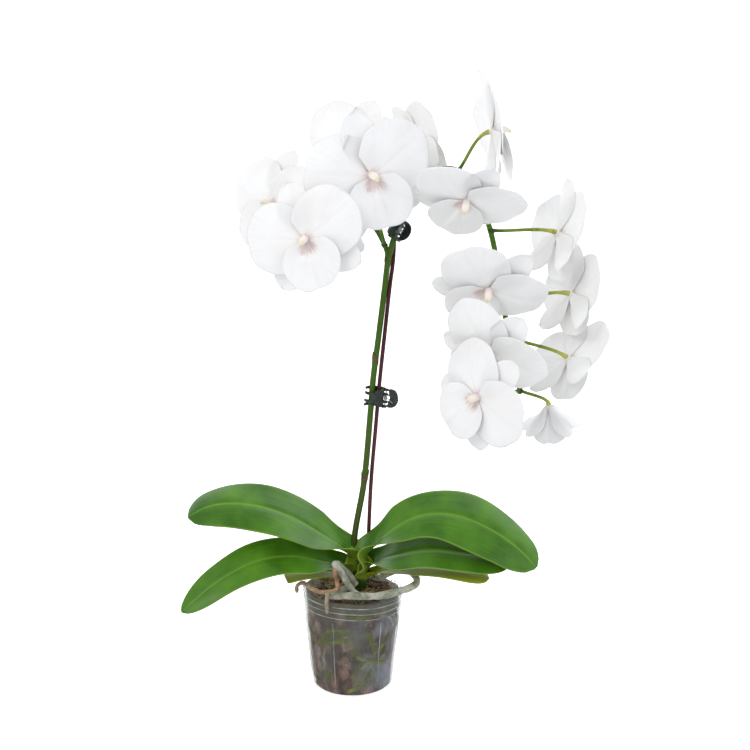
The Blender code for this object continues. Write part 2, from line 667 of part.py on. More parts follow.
def finger(name, height, side, material):
    """One curved finger: half an ellipse from the hinge round to just past the far side."""
    points = []
    for k in range(7):
        angle = math.radians(CLIP_FINGER_START + CLIP_FINGER_TURN * k / 6)
        x = -CLIP_LOOP_HALF_LENGTH - CLIP_BARREL_RADIUS + CLIP_LOOP_HALF_LENGTH * math.cos(angle)
        points.append(Vector((x, side * CLIP_LOOP_HALF_WIDTH * math.sin(angle), height)))
    return tube(name, points, taper(CLIP_FINGER_RADIUS, CLIP_TIP_RADIUS, 7), material, resolution=1)


def pad(name, side, material):
    """The thumb pad: most of a disc, with a scalloped edge, standing away from the clip's middle plane."""
    bm = bmesh.new()
    count = CLIP_SCALLOPS * 2
    rim = []
    for k in range(count + 1):
        angle = math.radians(CLIP_PAD_TURN * (k / count - 0.5))
        radius = CLIP_PAD_RADIUS + (0.5 if k % 2 else -0.5) * CLIP_SCALLOP_DEPTH
        rim.append(bm.verts.new((CLIP_PAD_CENTRE + radius * math.cos(angle), 0.0,
                                 radius * math.sin(angle))))
    bm.faces.new(rim)
    mesh = bpy.data.meshes.new(name)
    bm.to_mesh(mesh)
    bm.free()
    obj = add_object(name, mesh, material)
    thick = obj.modifiers.new("thickness", "SOLIDIFY")
    thick.thickness = CLIP_PAD_THICK
    thick.offset = 0.0
    flat = freeze(obj)
    flat.data.transform(Matrix.Rotation(math.radians(CLIP_PAD_ANGLE * side), 4, "Z"))
    return flat


def build_jaw(name, side, barrel_distance):
    """One jaw: two barrels on the hinge line, a finger from each, and a thumb pad carried on two arms."""
    pieces = []
    half_barrel = Vector((0, 0, CLIP_BARREL_LENGTH / 2))
    reach = Matrix.Rotation(math.radians(CLIP_PAD_ANGLE * side), 3, "Z") @ Vector((CLIP_ARM_LENGTH, 0, 0))
    for height in (-barrel_distance, barrel_distance):
        middle = Vector((0, 0, height))
        pieces.append(cylinder("barrel", middle - half_barrel, middle + half_barrel, CLIP_BARREL_RADIUS,
                               CLIP_PLASTIC, sides=8))
        pieces.append(finger("finger", height, side, CLIP_PLASTIC))
        start = middle + Vector((0.1 * CLIP_BARREL_RADIUS, side * 0.16 * CLIP_BARREL_RADIUS, 0))
        end = start + reach - middle * CLIP_ARM_INWARDS
        pieces.append(cylinder("arm", start, end, CLIP_ARM_RADIUS, CLIP_PLASTIC, sides=6))
    plate = pad("pad", side, CLIP_PLASTIC)
    clear = Vector((0, 0, CLIP_PAD_RADIUS * 2))
    cut(plate, cylinder(name + "_pad_clearance", -clear, clear, CLIP_PAD_CLEARANCE, CLIP_PLASTIC, sides=10))
    pieces.append(freeze(plate))
    return pieces


def build_clip(prefix, place):
    """A spring claw: a fixed jaw with the pin, a moving jaw that turns on it, and a coil between them."""
    pin_end = Vector((0, 0, CLIP_PIN_HALF_LENGTH))
    fixed = build_jaw(prefix + "_fixed", 1, CLIP_FIXED_BARREL)
    fixed.append(cylinder("pin", -pin_end, pin_end, CLIP_PIN_RADIUS, CLIP_PLASTIC))
    fixed = fuse(prefix + "_fixed_jaw", fixed)
    moving = fuse(prefix + "_moving_jaw", build_jaw(prefix + "_moving", -1, CLIP_MOVING_BARREL))
    hole_radius = CLIP_PIN_RADIUS + CLIP_PIN_CLEARANCE
    hole = cylinder(prefix + "_pin_hole", -pin_end, pin_end, hole_radius, CLIP_PLASTIC)
    cut(moving, hole)
    moving = freeze(moving)
    coil = []
    steps = 6
    for k in range(SPRING_TURNS * steps + 1):
        angle = 2 * math.pi * k / steps
        rise = SPRING_LENGTH * (k / (SPRING_TURNS * steps) - 0.5)
        coil.append(Vector((SPRING_RADIUS * math.cos(angle), SPRING_RADIUS * math.sin(angle), rise)))
    spring = tube(prefix + "_spring", coil, [SPRING_WIRE_RADIUS] * len(coil), SPRING_STEEL, resolution=0)
    axis = bpy.data.objects.new(prefix + "_axis", None)
    parts.objects.link(axis)
    axis.matrix_world = place
    for solid in (fixed, moving, spring):
        solid.parent = axis


# ------------------------------------------------------------------ assembly

build_pot()
stake_path = through([at(*p) for p in STAKE_POINTS], 14)
build_medium(stake_path)
spike, stem_path = build_spike()
build_crown(stem_path)
for leaf in LEAVES:
    build_leaf(*leaf)
fuse("aerial_roots", build_roots())
tube("support_stake", stake_path, [STAKE_RADIUS] * len(stake_path), STAKE_MAROON)
for number, (name, centre, azimuth, elevation, roll, size, source) in enumerate(BLOOMS):
    build_bloom(number, name, centre, azimuth, elevation, roll, size)
build_clip("clip_lower", Matrix.Translation(at(39.5, 4.4, 349)) @ Matrix.Rotation(math.radians(6), 4, "Y"))
build_clip("clip_upper", Matrix.Translation(at(56.0, -5.9, 544.2))
           @ Matrix.Rotation(math.radians(28), 4, "Y") @ Matrix.Rotation(math.radians(-4), 4, "X")
           @ Matrix.Rotation(math.radians(-75), 4, "Z"))
bpy.context.view_layer.update()
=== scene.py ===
"""Looks of a potted moth orchid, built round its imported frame.

Lengths are written in millimetres and turned into metres by MM. The origin is the middle of the pot's
underside, on the surface it stands on; +Z is up and the blooms face -Y.
"""

import math
import random

import bmesh
import bpy
import numpy as np
from mathutils import Matrix, Vector


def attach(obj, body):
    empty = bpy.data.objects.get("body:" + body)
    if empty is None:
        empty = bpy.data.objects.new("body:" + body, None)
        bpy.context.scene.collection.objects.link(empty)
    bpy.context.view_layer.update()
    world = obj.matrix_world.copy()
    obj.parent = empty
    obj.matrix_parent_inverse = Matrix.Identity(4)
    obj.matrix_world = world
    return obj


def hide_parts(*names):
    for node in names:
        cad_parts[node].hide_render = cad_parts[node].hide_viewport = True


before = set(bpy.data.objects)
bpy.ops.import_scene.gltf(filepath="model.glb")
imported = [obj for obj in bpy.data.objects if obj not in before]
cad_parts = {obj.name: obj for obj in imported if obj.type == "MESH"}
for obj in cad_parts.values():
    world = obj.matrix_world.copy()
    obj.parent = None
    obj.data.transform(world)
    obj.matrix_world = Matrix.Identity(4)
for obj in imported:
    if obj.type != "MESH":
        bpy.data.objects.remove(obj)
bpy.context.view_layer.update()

MM = 0.001
TURN = 2 * math.pi
scene = bpy.context.scene
NOISE, VORONOI = "ShaderNodeTexNoise", "ShaderNodeTexVoronoi"
RAMP, MIX, MATH = "ShaderNodeValToRGB", "ShaderNodeMix", "ShaderNodeMath"


# ------------------------------------------------------------------ nodes

def linear(hex_colour):
    """Linear RGBA from an sRGB hex value."""
    parts = [int(hex_colour[i:i + 2], 16) / 255 for i in (1, 3, 5)]
    return (*[c / 12.92 if c <= 0.04045 else ((c + 0.055) / 1.055) ** 2.4 for c in parts], 1.0)


def link(tree, value, socket):
    """Links an output, or the first output of a node, to an input."""
    if isinstance(value, bpy.types.Node):
        value = next(output for output in value.outputs if output.enabled)
    tree.links.new(value, socket)


def add(tree, kind, inputs=None, stops=None, **settings):
    """One node with its settings. An input is a number, a hex colour, a node or its output; stops are a
    ramp's places with a hex colour or a grey each."""
    made = tree.nodes.new(kind)
    for name, value in settings.items():
        setattr(made, name, value)
    for key, value in (inputs or {}).items():
        if isinstance(value, (bpy.types.Node, bpy.types.NodeSocket)):
            link(tree, value, made.inputs[key])
        else:
            made.inputs[key].default_value = linear(value) if str(value).startswith("#") else value
    if stops:
        elements = made.color_ramp.elements
        while len(elements) < len(stops):
            elements.new(0.5)
        for element, (place, colour) in zip(elements, stops):
            element.position = place
            element.color = linear(colour) if isinstance(colour, str) else (colour, colour, colour, 1.0)
    return made


# ------------------------------------------------------------------ points, meshes and pieces

def at(x, y, z):
    """A point from millimetres."""
    return Vector((x, y, z)) * MM


def spokes(count):
    """Evenly spaced angles round a circle."""
    return [TURN * k / count for k in range(count)]


def ring(angles, across, height, deep=None, x=0.0, y=0.0):
    """Level points round a circle, or round an ellipse that is across wide and deep from front to back."""
    deep = across if deep is None else deep
    return [(x + across * math.cos(a), y + deep * math.sin(a), height) for a in angles]


def through(points, count):
    """Evenly spaced points on a smooth curve through the given ones."""
    points = [Vector(p) for p in points]
    spans = [(b - a).length for a, b in zip(points, points[1:])]
    slopes = []
    for i in range(len(points)):
        before, after = max(i - 1, 0), min(i + 1, len(points) - 1)
        slopes.append((points[after] - points[before]) / sum(spans[before:after]))
    fine = []
    steps = 24
    for i, span in enumerate(spans):
        a, b = points[i], points[i + 1]
        for step in range(steps):
            t = step / steps
            fine.append(a * (1 + 2 * t) * (1 - t) ** 2 + b * t * t * (3 - 2 * t)
                        + slopes[i] * span * t * (1 - t) ** 2 - slopes[i + 1] * span * t * t * (1 - t))
    fine.append(points[-1])
    lengths = [0.0]
    for a, b in zip(fine, fine[1:]):
        lengths.append(lengths[-1] + (b - a).length)
    even = []
    j = 0
    for k in range(count):
        want = lengths[-1] * k / (count - 1)
        while j < len(fine) - 2 and lengths[j + 1] < want:
            j += 1
        share = (want - lengths[j]) / (lengths[j + 1] - lengths[j])
        even.append(fine[j].lerp(fine[j + 1], share))
    return even


def smoothstep(low, high, value):
    """0 below low, 1 above high, and a smooth change between them."""
    t = np.clip((value - low) / (high - low), 0.0, 1.0)
    return t * t * (3 - 2 * t)


def blunt(u, start, power):
    """1 up to start, then falling along a rounded tip to 0 at the end."""
    return np.sqrt(np.maximum(1 - np.maximum((u - start) / (1 - start), 0.0) ** power, 0.0))


def placed(name, data):
    """An object in the scene."""
    obj = bpy.data.objects.new(name, data)
    scene.collection.objects.link(obj)
    return obj


def evaluated(obj, *helpers):
    """The plain mesh that an object's modifiers make; the object and its helpers are removed."""
    graph = bpy.context.evaluated_depsgraph_get()
    graph.update()
    plain = bpy.data.meshes.new_from_object(obj.evaluated_get(graph), depsgraph=graph)
    for used in (obj, *helpers):
        bpy.data.objects.remove(used, do_unlink=True)
    return plain


def settled(bm, mesh):
    """The mesh, written from a bmesh that is then freed."""
    bm.to_mesh(mesh)
    bm.free()
    return mesh


def outward(mesh):
    """Recalculates the mesh's normals after its doubles are merged, so that every shell faces outwards."""
    bm = bmesh.new()
    bm.from_mesh(mesh)
    bmesh.ops.remove_doubles(bm, verts=bm.verts, dist=0.001 * MM)
    bmesh.ops.recalc_face_normals(bm, faces=bm.faces)
    return settled(bm, mesh)


def gather(name, meshes):
    """One mesh from several, each keeping its own materials."""
    bm = bmesh.new()
    materials = []
    for mesh in meshes:
        first = len(bm.faces)
        bm.from_mesh(mesh)
        bm.faces.ensure_lookup_table()
        for face in bm.faces[first:]:
            own = mesh.materials[face.material_index]
            if own not in materials:
                materials.append(own)
            face.material_index = materials.index(own)
    whole = settled(bm, bpy.data.meshes.new(name))
    for one in materials:
        whole.materials.append(one)
    return whole


def piece(name, mesh, node, body="root"):
    """A finished piece at the origin that stands for a node of the frame and rides on a body."""
    obj = placed(name, mesh)
    if node:
        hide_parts(node)
    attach(obj, body)


class Shape:
    """Vertices and faces with the numbers painted on them, gathered until they become one mesh."""

    def __init__(self):
        self.points, self.faces, self.slots, self.uvs, self.tones = [], [], [], [], []

    def add(self, points, faces, slots, uvs, tones):
        first = len(self.points)
        self.points.extend(points)
        self.faces.extend([[first + i for i in face] for face in faces])
        self.slots.extend(slots)
        self.uvs.extend(uvs)
        self.tones.extend(tones)

    def blade(self, place, grid, half_thickness, tone, front=(0, 0, 1), under=0):
        """A closed sheet of rows and columns: place(u, v) gives its middle surface, u from 0 to 1 and v
        from -1 to 1. Its upper side faces the front, and its lower side has the material slot under."""
        rows, columns = grid
        u, v = np.meshgrid(np.linspace(0, 1, rows + 1), np.linspace(-1, 1, columns + 1), indexing="ij")
        middle = place(u, v)
        normal = np.cross(np.gradient(middle, axis=0), np.gradient(middle, axis=1))
        normal /= np.maximum(np.linalg.norm(normal, axis=2, keepdims=True), 1e-12)
        turned = (normal.reshape(-1, 3) @ np.array(front)).mean() < 0
        if turned:
            normal = -normal
        thick = (half_thickness(u, v) + 0 * u)[..., None]
        upper = (middle + normal * thick).reshape(-1, 3)
        lower = (middle - normal * thick).reshape(-1, 3)
        across, count = columns + 1, len(upper)
        faces, slots = [], []
        for i in range(rows):
            for j in range(columns):
                a, b = i * across + j, i * across + j + 1
                c, d = b + across, a + across
                top, bottom = [a, d, c, b], [count + a, count + b, count + c, count + d]
                faces += [top[::-1], bottom[::-1]] if turned else [top, bottom]
                slots += [0, under]
        rim = ([j for j in range(across)] + [i * across + columns for i in range(1, rows + 1)]
               + [rows * across + j for j in range(columns - 1, -1, -1)]
               + [i * across for i in range(rows - 1, 0, -1)])
        for a, b in zip(rim, rim[1:] + rim[:1]):
            side = [a, b, count + b, count + a]
            faces.append(side[::-1] if turned else side)
            slots.append(0)
        uv = np.stack((u, (v + 1) / 2), axis=2).reshape(-1, 2).tolist()
        painted = np.broadcast_to(tone(u, v), u.shape).reshape(-1).tolist()
        self.add(upper.tolist() + lower.tolist(), faces, slots, uv + uv, painted + painted)

    def lathe(self, rings, tones, slot=0):
        """A closed body through rings of as many points each, capped at both ends."""
        sides = len(rings[0])
        faces = []
        for i in range(len(rings) - 1):
            for k in range(sides):
                after = (k + 1) % sides
                faces.append([i * sides + k, i * sides + after, (i + 1) * sides + after, (i + 1) * sides + k])
        last = (len(rings) - 1) * sides
        faces += [list(range(sides))[::-1], [last + k for k in range(sides)]]
        uv = [(i / len(rings), 0.5) for i in range(len(rings)) for _ in range(sides)]
        self.add([tuple(point) for loop in rings for point in loop], faces, [slot] * len(faces), uv,
                 [tone for tone in tones for _ in range(sides)])

    def wall(self, rings, apart):
        """Quads between rings of as many points and from the last to the first, but not after ring apart."""
        sides = len(rings[0])
        faces = []
        for i in range(len(rings)):
            if i == apart:
                continue
            below = (i + 1) % len(rings)
            for k in range(sides):
                after = (k + 1) % sides
                faces.append([i * sides + k, below * sides + k, below * sides + after, i * sides + after])
        points = [point for loop in rings for point in loop]
        self.add(points, faces, [0] * len(faces), [(0, 0)] * len(points), [0.0] * len(points))

    def mesh(self, name, materials, matrix=None):
        mesh = bpy.data.meshes.new(name)
        mesh.from_pydata([tuple(p) for p in self.points], [], self.faces)
        for one in materials:
            mesh.materials.append(one)
        mesh.polygons.foreach_set("material_index", self.slots)
        mesh.polygons.foreach_set("use_smooth", [True] * len(self.faces))
        corners = np.zeros(len(mesh.loops), np.int32)
        mesh.loops.foreach_get("vertex_index", corners)
        layer = mesh.uv_layers.new(name="UVMap")
        layer.data.foreach_set("uv", np.array(self.uvs, np.float32)[corners].reshape(-1))
        paint = mesh.attributes.new("tone", "FLOAT", "POINT")
        paint.data.foreach_set("value", np.array(self.tones, np.float32))
        if matrix is not None:
            mesh.transform(matrix)
        mesh.update()
        return mesh


# ------------------------------------------------------------------ trees for what follows a path or repeats

def new_tree(name, sockets):
    """A Geometry Nodes tree with a geometry in and out and the named inputs, each (name, kind, default)."""
    tree = bpy.data.node_groups.new(name, "GeometryNodeTree")
    tree.interface.new_socket("Geometry", in_out="INPUT", socket_type="NodeSocketGeometry")
    for label, kind, default in sockets:
        socket = tree.interface.new_socket(label, in_out="INPUT", socket_type="NodeSocket" + kind)
        if default is not None:
            socket.default_value = default
    tree.interface.new_socket("Geometry", in_out="OUTPUT", socket_type="NodeSocketGeometry")
    return tree, add(tree, "NodeGroupInput").outputs


def end_tree(tree, given, geometry):
    """Ends a tree: real geometry, smooth, in its material."""
    real = add(tree, "GeometryNodeRealizeInstances", {"Geometry": geometry})
    smooth = add(tree, "GeometryNodeSetShadeSmooth", {"Geometry": real})
    painted = add(tree, "GeometryNodeSetMaterial", {"Geometry": smooth, "Material": given["Material"]})
    add(tree, "NodeGroupOutput", {"Geometry": painted})
    return tree


def rod_tree():
    """Rods along the edges of a mesh, as thick as its radius says, with lumps of a given height and size."""
    tree, given = new_tree("rods", [("Sides", "Int", 12), ("Lump Height", "Float", 0.0),
                                    ("Lump Size", "Float", 0.01), ("Material", "Material", None)])
    curve = add(tree, "GeometryNodeMeshToCurve", {"Mesh": given["Geometry"]})
    radius = add(tree, "GeometryNodeInputNamedAttribute", {"Name": "radius"}, data_type="FLOAT")
    circle = add(tree, "GeometryNodeCurvePrimitiveCircle", {"Resolution": given["Sides"], "Radius": 1.0})
    rod = add(tree, "GeometryNodeCurveToMesh", {"Curve": curve, "Profile Curve": circle, "Scale": radius,
                                                "Fill Caps": True})
    fineness = add(tree, MATH, {0: 1.0, 1: given["Lump Size"]}, operation="DIVIDE")
    lumps = add(tree, NOISE, {"Scale": fineness, "Detail": 2.0})
    centred = add(tree, MATH, {0: lumps, 1: 0.5}, operation="SUBTRACT")
    height = add(tree, MATH, {0: centred, 1: given["Lump Height"]}, operation="MULTIPLY")
    push = add(tree, "ShaderNodeVectorMath", {0: add(tree, "GeometryNodeInputNormal"), "Scale": height},
               operation="SCALE")
    return end_tree(tree, given, add(tree, "GeometryNodeSetPosition", {"Geometry": rod, "Offset": push}))


def scatter_tree():
    """Copies of an item strewn over a surface, turned and sized at random from a seed."""
    tree, given = new_tree("strewn", [("Item", "Object", None), ("Density", "Float", 1000.0),
                                      ("Seed", "Int", 0), ("Smallest", "Float", 0.6),
                                      ("Largest", "Float", 1.2), ("Tilt", "Float", 0.5),
                                      ("Material", "Material", None)])
    spots = add(tree, "GeometryNodeDistributePointsOnFaces",
                {"Mesh": given["Geometry"], "Density": given["Density"], "Seed": given["Seed"]})
    item = add(tree, "GeometryNodeObjectInfo", {"Object": given["Item"]})
    down = add(tree, MATH, {0: given["Tilt"], 1: -1.0}, operation="MULTIPLY")
    low = add(tree, "ShaderNodeCombineXYZ", {0: down, 1: down, 2: -math.pi})
    high = add(tree, "ShaderNodeCombineXYZ", {0: given["Tilt"], 1: given["Tilt"], 2: math.pi})
    turn = add(tree, "FunctionNodeRandomValue", {"Seed": given["Seed"], "Min": low, "Max": high},
               data_type="FLOAT_VECTOR")
    swivel = add(tree, "FunctionNodeRotateRotation",
                 {"Rotation": spots.outputs["Rotation"],
                  "Rotate By": add(tree, "FunctionNodeEulerToRotation", {"Euler": turn})},
                 rotation_space="LOCAL")
    size = add(tree, "FunctionNodeRandomValue", {2: given["Smallest"], 3: given["Largest"]},
               data_type="FLOAT")
    copies = add(tree, "GeometryNodeInstanceOnPoints",
                 {"Points": spots, "Instance": item.outputs["Geometry"], "Rotation": swivel, "Scale": size})
    return end_tree(tree, given, copies)


def fan_tree():
    """Copies of an item along an arc about Y, each turned to face out from the arc's centre."""
    tree, given = new_tree("fan_of_copies", [("Item", "Object", None), ("Count", "Int", 8),
                                             ("Radius", "Float", 0.014), ("First Angle", "Float", -1.5),
                                             ("Last Angle", "Float", 1.5), ("Material", "Material", None)])
    points = add(tree, "GeometryNodePoints", {"Count": given["Count"]})
    last = add(tree, MATH, {0: given["Count"], 1: 1.0}, operation="SUBTRACT")
    share = add(tree, MATH, {0: add(tree, "GeometryNodeInputIndex"), 1: last}, operation="DIVIDE")
    span = add(tree, MATH, {0: given["Last Angle"], 1: given["First Angle"]}, operation="SUBTRACT")
    angle = add(tree, MATH, {0: share, 1: span, 2: given["First Angle"]}, operation="MULTIPLY_ADD")
    way_out = add(tree, "ShaderNodeCombineXYZ", {0: add(tree, MATH, {0: angle}, operation="COSINE"),
                                                 2: add(tree, MATH, {0: angle}, operation="SINE")})
    spot = add(tree, "ShaderNodeVectorMath", {0: way_out, "Scale": given["Radius"]}, operation="SCALE")
    spread = add(tree, "GeometryNodeSetPosition", {"Geometry": points, "Position": spot})
    back = add(tree, MATH, {0: angle, 1: -1.0}, operation="MULTIPLY")
    turn = add(tree, "FunctionNodeEulerToRotation", {"Euler": add(tree, "ShaderNodeCombineXYZ", {1: back})})
    item = add(tree, "GeometryNodeObjectInfo", {"Object": given["Item"]})
    copies = add(tree, "GeometryNodeInstanceOnPoints",
                 {"Points": spread, "Instance": item.outputs["Geometry"], "Rotation": turn})
    return end_tree(tree, given, copies)


RODS = rod_tree()
STREWN = scatter_tree()
FAN = fan_tree()


def grow(mesh, tree, **values):
    """The mesh that a Geometry Nodes tree makes of the given one; values are the tree's named inputs."""
    obj = placed(tree.name, mesh)
    modifier = obj.modifiers.new(tree.name, "NODES")
    modifier.node_group = tree
    for item in tree.interface.items_tree:
        key = item.name.lower().replace(" ", "_")
        if item.item_type == "SOCKET" and item.in_out == "INPUT" and key in values:
            modifier[item.identifier] = values[key]
    return evaluated(obj)


def rods(name, lines, paint, sides=12, lump_height=0.0, lump_size=0.01):
    """Rods along lines of (points, radii, tones), each of the last two one number or a list of them."""
    points, edges, painted = [], [], {"radius": [], "tone": []}
    for line, *values in lines:
        first = len(points)
        points += [tuple(p) for p in line]
        edges += [(first + i, first + i + 1) for i in range(len(line) - 1)]
        for known, value in zip(painted.values(), values):
            known += [value] * len(line) if isinstance(value, float) else list(value)
    mesh = bpy.data.meshes.new(name)
    mesh.from_pydata(points, edges, [])
    for label, values in painted.items():
        mesh.attributes.new(label, "FLOAT", "POINT").data.foreach_set("value", values)
    return outward(grow(mesh, RODS, sides=sides, lump_height=lump_height, lump_size=lump_size,
                        material=paint))


# ------------------------------------------------------------------ materials

def material(name, **sockets):
    """A material, its tree and its coordinates; the shader's sockets are set by name, _ for a space."""
    made = bpy.data.materials.new(name)
    made.use_nodes = True
    for key, value in sockets.items():
        made.node_tree.nodes["Principled BSDF"].inputs[key.replace("_", " ")].default_value = value
    return made, made.node_tree, add(made.node_tree, "ShaderNodeTexCoord").outputs


def pattern(tree, kind, scale, coordinates, stretch=(1, 1, 1), **more):
    """A texture on Object coordinates or UVs, its pattern stretched along each axis."""
    moved = add(tree, "ShaderNodeMapping", {"Vector": coordinates, "Scale": stretch})
    return add(tree, kind, {"Vector": moved, "Scale": scale, **more})


def finish(made, colour, roughness=None, height=None, depth=0.2, strength=1.0, **others):
    """Links a colour, a roughness, a bump of a depth in millimetres and others to a material's shader."""
    tree = made.node_tree
    if height is not None:
        others["Normal"] = add(tree, "ShaderNodeBump", {"Height": height, "Distance": depth * MM,
                                                        "Strength": strength})
    if roughness is not None:
        others["Roughness"] = roughness
    for socket, value in {"Base Color": colour, **others}.items():
        link(tree, value, tree.nodes["Principled BSDF"].inputs[socket.replace("_", " ")])
    return made


def petal_material():
    """White orchid petal: thin wet cells that glow, fine veins fanning from the claw, and a cream and mauve
    throat that is partly its own colour and partly painted shade.
    """
    made, tree, on = material("orchid_petal", Roughness=0.45, Subsurface_Weight=0.35,
                              Subsurface_Scale=4 * MM, Subsurface_Radius=(1.0, 0.92, 0.86))
    tone = add(tree, "ShaderNodeAttribute", attribute_name="tone").outputs["Fac"]
    veins = pattern(tree, NOISE, 1.0, on["UV"], (2.2, 46, 1))
    lines = add(tree, RAMP, {0: veins}, ((0.40, 0.0), (0.62, 1.0)))
    cloud = add(tree, RAMP, {0: pattern(tree, NOISE, 22.0, on["Object"])}, ((0.35, 0.0), (0.65, 1.0)))
    body = add(tree, MIX, {0: cloud, 6: "#f4f1ef", 7: "#faf9f8"}, data_type="RGBA")
    faint = add(tree, MATH, {0: lines, 1: 0.2}, operation="MULTIPLY")
    veined = add(tree, MIX, {0: faint, 6: body, 7: "#ede8e8"}, data_type="RGBA")
    # Partly painted shade: the tone is highest deep in the throat and in the lip's side hollows. The cream
    # and mauve it mixes in are partly the throat's own colour and partly shade painted there.
    near = add(tree, RAMP, {0: tone}, ((0.25, 0.0), (0.85, 1.0)))
    cream = add(tree, MIX, {0: near, 6: veined, 7: "#efe4dc"}, data_type="RGBA")
    deep = add(tree, MATH, {0: lines, 1: 0.45, 2: tone}, operation="MULTIPLY_ADD")
    streaks = add(tree, RAMP, {0: deep}, ((0.90, 0.0), (1.0, 0.55)))
    mauve = add(tree, MIX, {0: streaks, 6: cream, 7: "#cbadb3"}, data_type="RGBA")
    return finish(made, mauve, None, veins, 0.3, 0.2)


def column_material():
    """The column and its cap: waxy cream that turns pale straw at the tip."""
    made, tree, on = material("orchid_column", Roughness=0.35, Subsurface_Weight=0.3, Subsurface_Scale=3 * MM)
    tone = add(tree, "ShaderNodeAttribute", attribute_name="tone").outputs["Fac"]
    straw = add(tree, RAMP, {0: tone}, ((0.0, "#f1e9e4"), (0.35, "#efe2de"), (0.60, "#f6f0e4"),
                                        (0.85, "#f6ecdc"), (1.0, "#f0e2c4")))
    return finish(made, straw, None, pattern(tree, NOISE, 500.0, on["Object"]), 0.2, 0.4)


def leaf_material(name, dark, light, rib, edge, roughness):
    """Thick waxy leaf: fine parallel veins along it, a paler rib, paler worn edges, cloudy greens."""
    made, tree, on = material(name, Subsurface_Weight=0.08, Subsurface_Scale=4 * MM, IOR=1.45,
                              Specular_IOR_Level=0.32)
    tone = add(tree, "ShaderNodeAttribute", attribute_name="tone").outputs["Fac"]
    veins = pattern(tree, NOISE, 1.0, on["UV"], (3.0, 60, 1), Detail=3.0)
    cloud = pattern(tree, NOISE, 26.0, on["Object"], Detail=3.0)
    fine = add(tree, MATH, {0: veins, 1: 0.5, 2: cloud}, operation="MULTIPLY_ADD")
    share = add(tree, RAMP, {0: fine}, ((0.45, 0.0), (1.0, 1.0)))
    body = add(tree, MIX, {0: share, 6: dark, 7: light}, data_type="RGBA")
    across = add(tree, "ShaderNodeSeparateXYZ", {0: on["UV"]}).outputs[1]
    off = add(tree, MATH, {0: across, 1: 0.5}, operation="SUBTRACT")
    away = add(tree, MATH, {0: off}, operation="ABSOLUTE")
    middle = add(tree, RAMP, {0: away}, ((0.0, 0.7), (0.035, 0.0)))
    ribbed = add(tree, MIX, {0: middle, 6: body, 7: rib}, data_type="RGBA")
    rim = add(tree, RAMP, {0: away}, ((0.47, 0.0), (0.5, 0.6)))
    pale = add(tree, MIX, {0: rim, 6: ribbed, 7: edge}, data_type="RGBA")
    foot = add(tree, RAMP, {0: tone}, ((0.45, 0.0), (1.0, 1.0)))
    based = add(tree, MIX, {0: foot, 6: pale, 7: "#8f9a22"}, data_type="RGBA")
    gloss = add(tree, RAMP, {0: cloud}, ((0.3, roughness - 0.06), (0.7, roughness + 0.08)))
    return finish(made, based, gloss, veins, 0.3, 0.25)


def stem_material():
    """Flower spike: smooth green skin, browner low down and at its rings, yellow-green flower stalks."""
    made, tree, on = material("spike_skin", Subsurface_Weight=0.05, Subsurface_Scale=2 * MM,
                              Specular_IOR_Level=0.2)
    tone = add(tree, "ShaderNodeAttribute", attribute_name="tone").outputs["Fac"]
    freckles = pattern(tree, NOISE, 160.0, on["Object"], (1, 1, 0.25), Detail=3.0)
    skin = add(tree, RAMP, {0: tone}, ((0.0, "#6a5236"), (0.14, "#453c1e"), (0.30, "#3c5a0c"),
                                       (0.62, "#487314"), (0.80, "#8d9a38"), (1.0, "#c2c268")))
    spots = add(tree, RAMP, {0: freckles}, ((0.52, 0.0), (0.72, 0.45)))
    spotted = add(tree, MIX, {0: spots, 6: skin, 7: "#453320"}, data_type="RGBA")
    return finish(made, spotted, add(tree, RAMP, {0: freckles}, ((0.3, 0.38), (0.7, 0.55))), freckles,
                  0.2, 0.5)


def root_material():
    """Aerial root: spongy silver velamen, tan where it has dried and green where it is damp."""
    made, tree, on = material("root_velamen")
    tone = add(tree, "ShaderNodeAttribute", attribute_name="tone").outputs["Fac"]
    patches = pattern(tree, NOISE, 70.0, on["Object"], Detail=4.0, Roughness=0.65)
    pores = pattern(tree, NOISE, 900.0, on["Object"], Detail=3.0)
    silver = add(tree, RAMP, {0: patches}, ((0.30, "#5d6147"), (0.46, "#8f927c"), (0.60, "#b9b8a8"),
                                            (0.74, "#8c7a5c")))
    tan = add(tree, RAMP, {0: patches}, ((0.30, "#6b4a2e"), (0.50, "#a9825f"), (0.72, "#cfae8c")))
    green = add(tree, RAMP, {0: patches}, ((0.30, "#343a12"), (0.55, "#565f22"), (0.75, "#858a4a")))
    drying = add(tree, RAMP, {0: tone}, ((0.15, 0.0), (0.45, 1.0)))
    damp = add(tree, MIX, {0: drying, 6: green, 7: silver}, data_type="RGBA")
    dried = add(tree, RAMP, {0: tone}, ((0.55, 0.0), (0.85, 1.0)))
    skin = add(tree, MIX, {0: dried, 6: damp, 7: tan}, data_type="RGBA")
    return finish(made, skin, add(tree, RAMP, {0: patches}, ((0.3, 0.65), (0.7, 0.85))), pores, 0.5, 0.6)


def pot_material():
    """Thin clear polypropylene, scuffed and clouded by damp, so the bark and roots show dimly through."""
    made, tree, on = material("clear_polypropylene", IOR=1.49, Specular_IOR_Level=0.22)
    cloud = pattern(tree, NOISE, 30.0, on["Object"], (1, 1, 0.6), Detail=3.0)
    scuffs = pattern(tree, NOISE, 90.0, on["Object"], (1, 1, 0.12))
    smoke = add(tree, RAMP, {0: cloud}, ((0.35, "#6e6550"), (0.5, "#8a8273"), (0.65, "#989ca0")))
    slant = add(tree, "ShaderNodeLayerWeight", {"Blend": 0.4}).outputs["Facing"]
    hazy = add(tree, MATH, {0: add(tree, RAMP, {0: cloud}, ((0.36, 0.03), (0.68, 0.13))),
                            1: add(tree, RAMP, {0: slant}, ((0.55, 0.0), (0.97, 0.85)))},
               operation="MAXIMUM")
    return finish(made, smoke, add(tree, RAMP, {0: scuffs}, ((0.35, 0.14), (0.7, 0.30))), cloud, 1.5, 0.3,
                  Alpha=hazy)


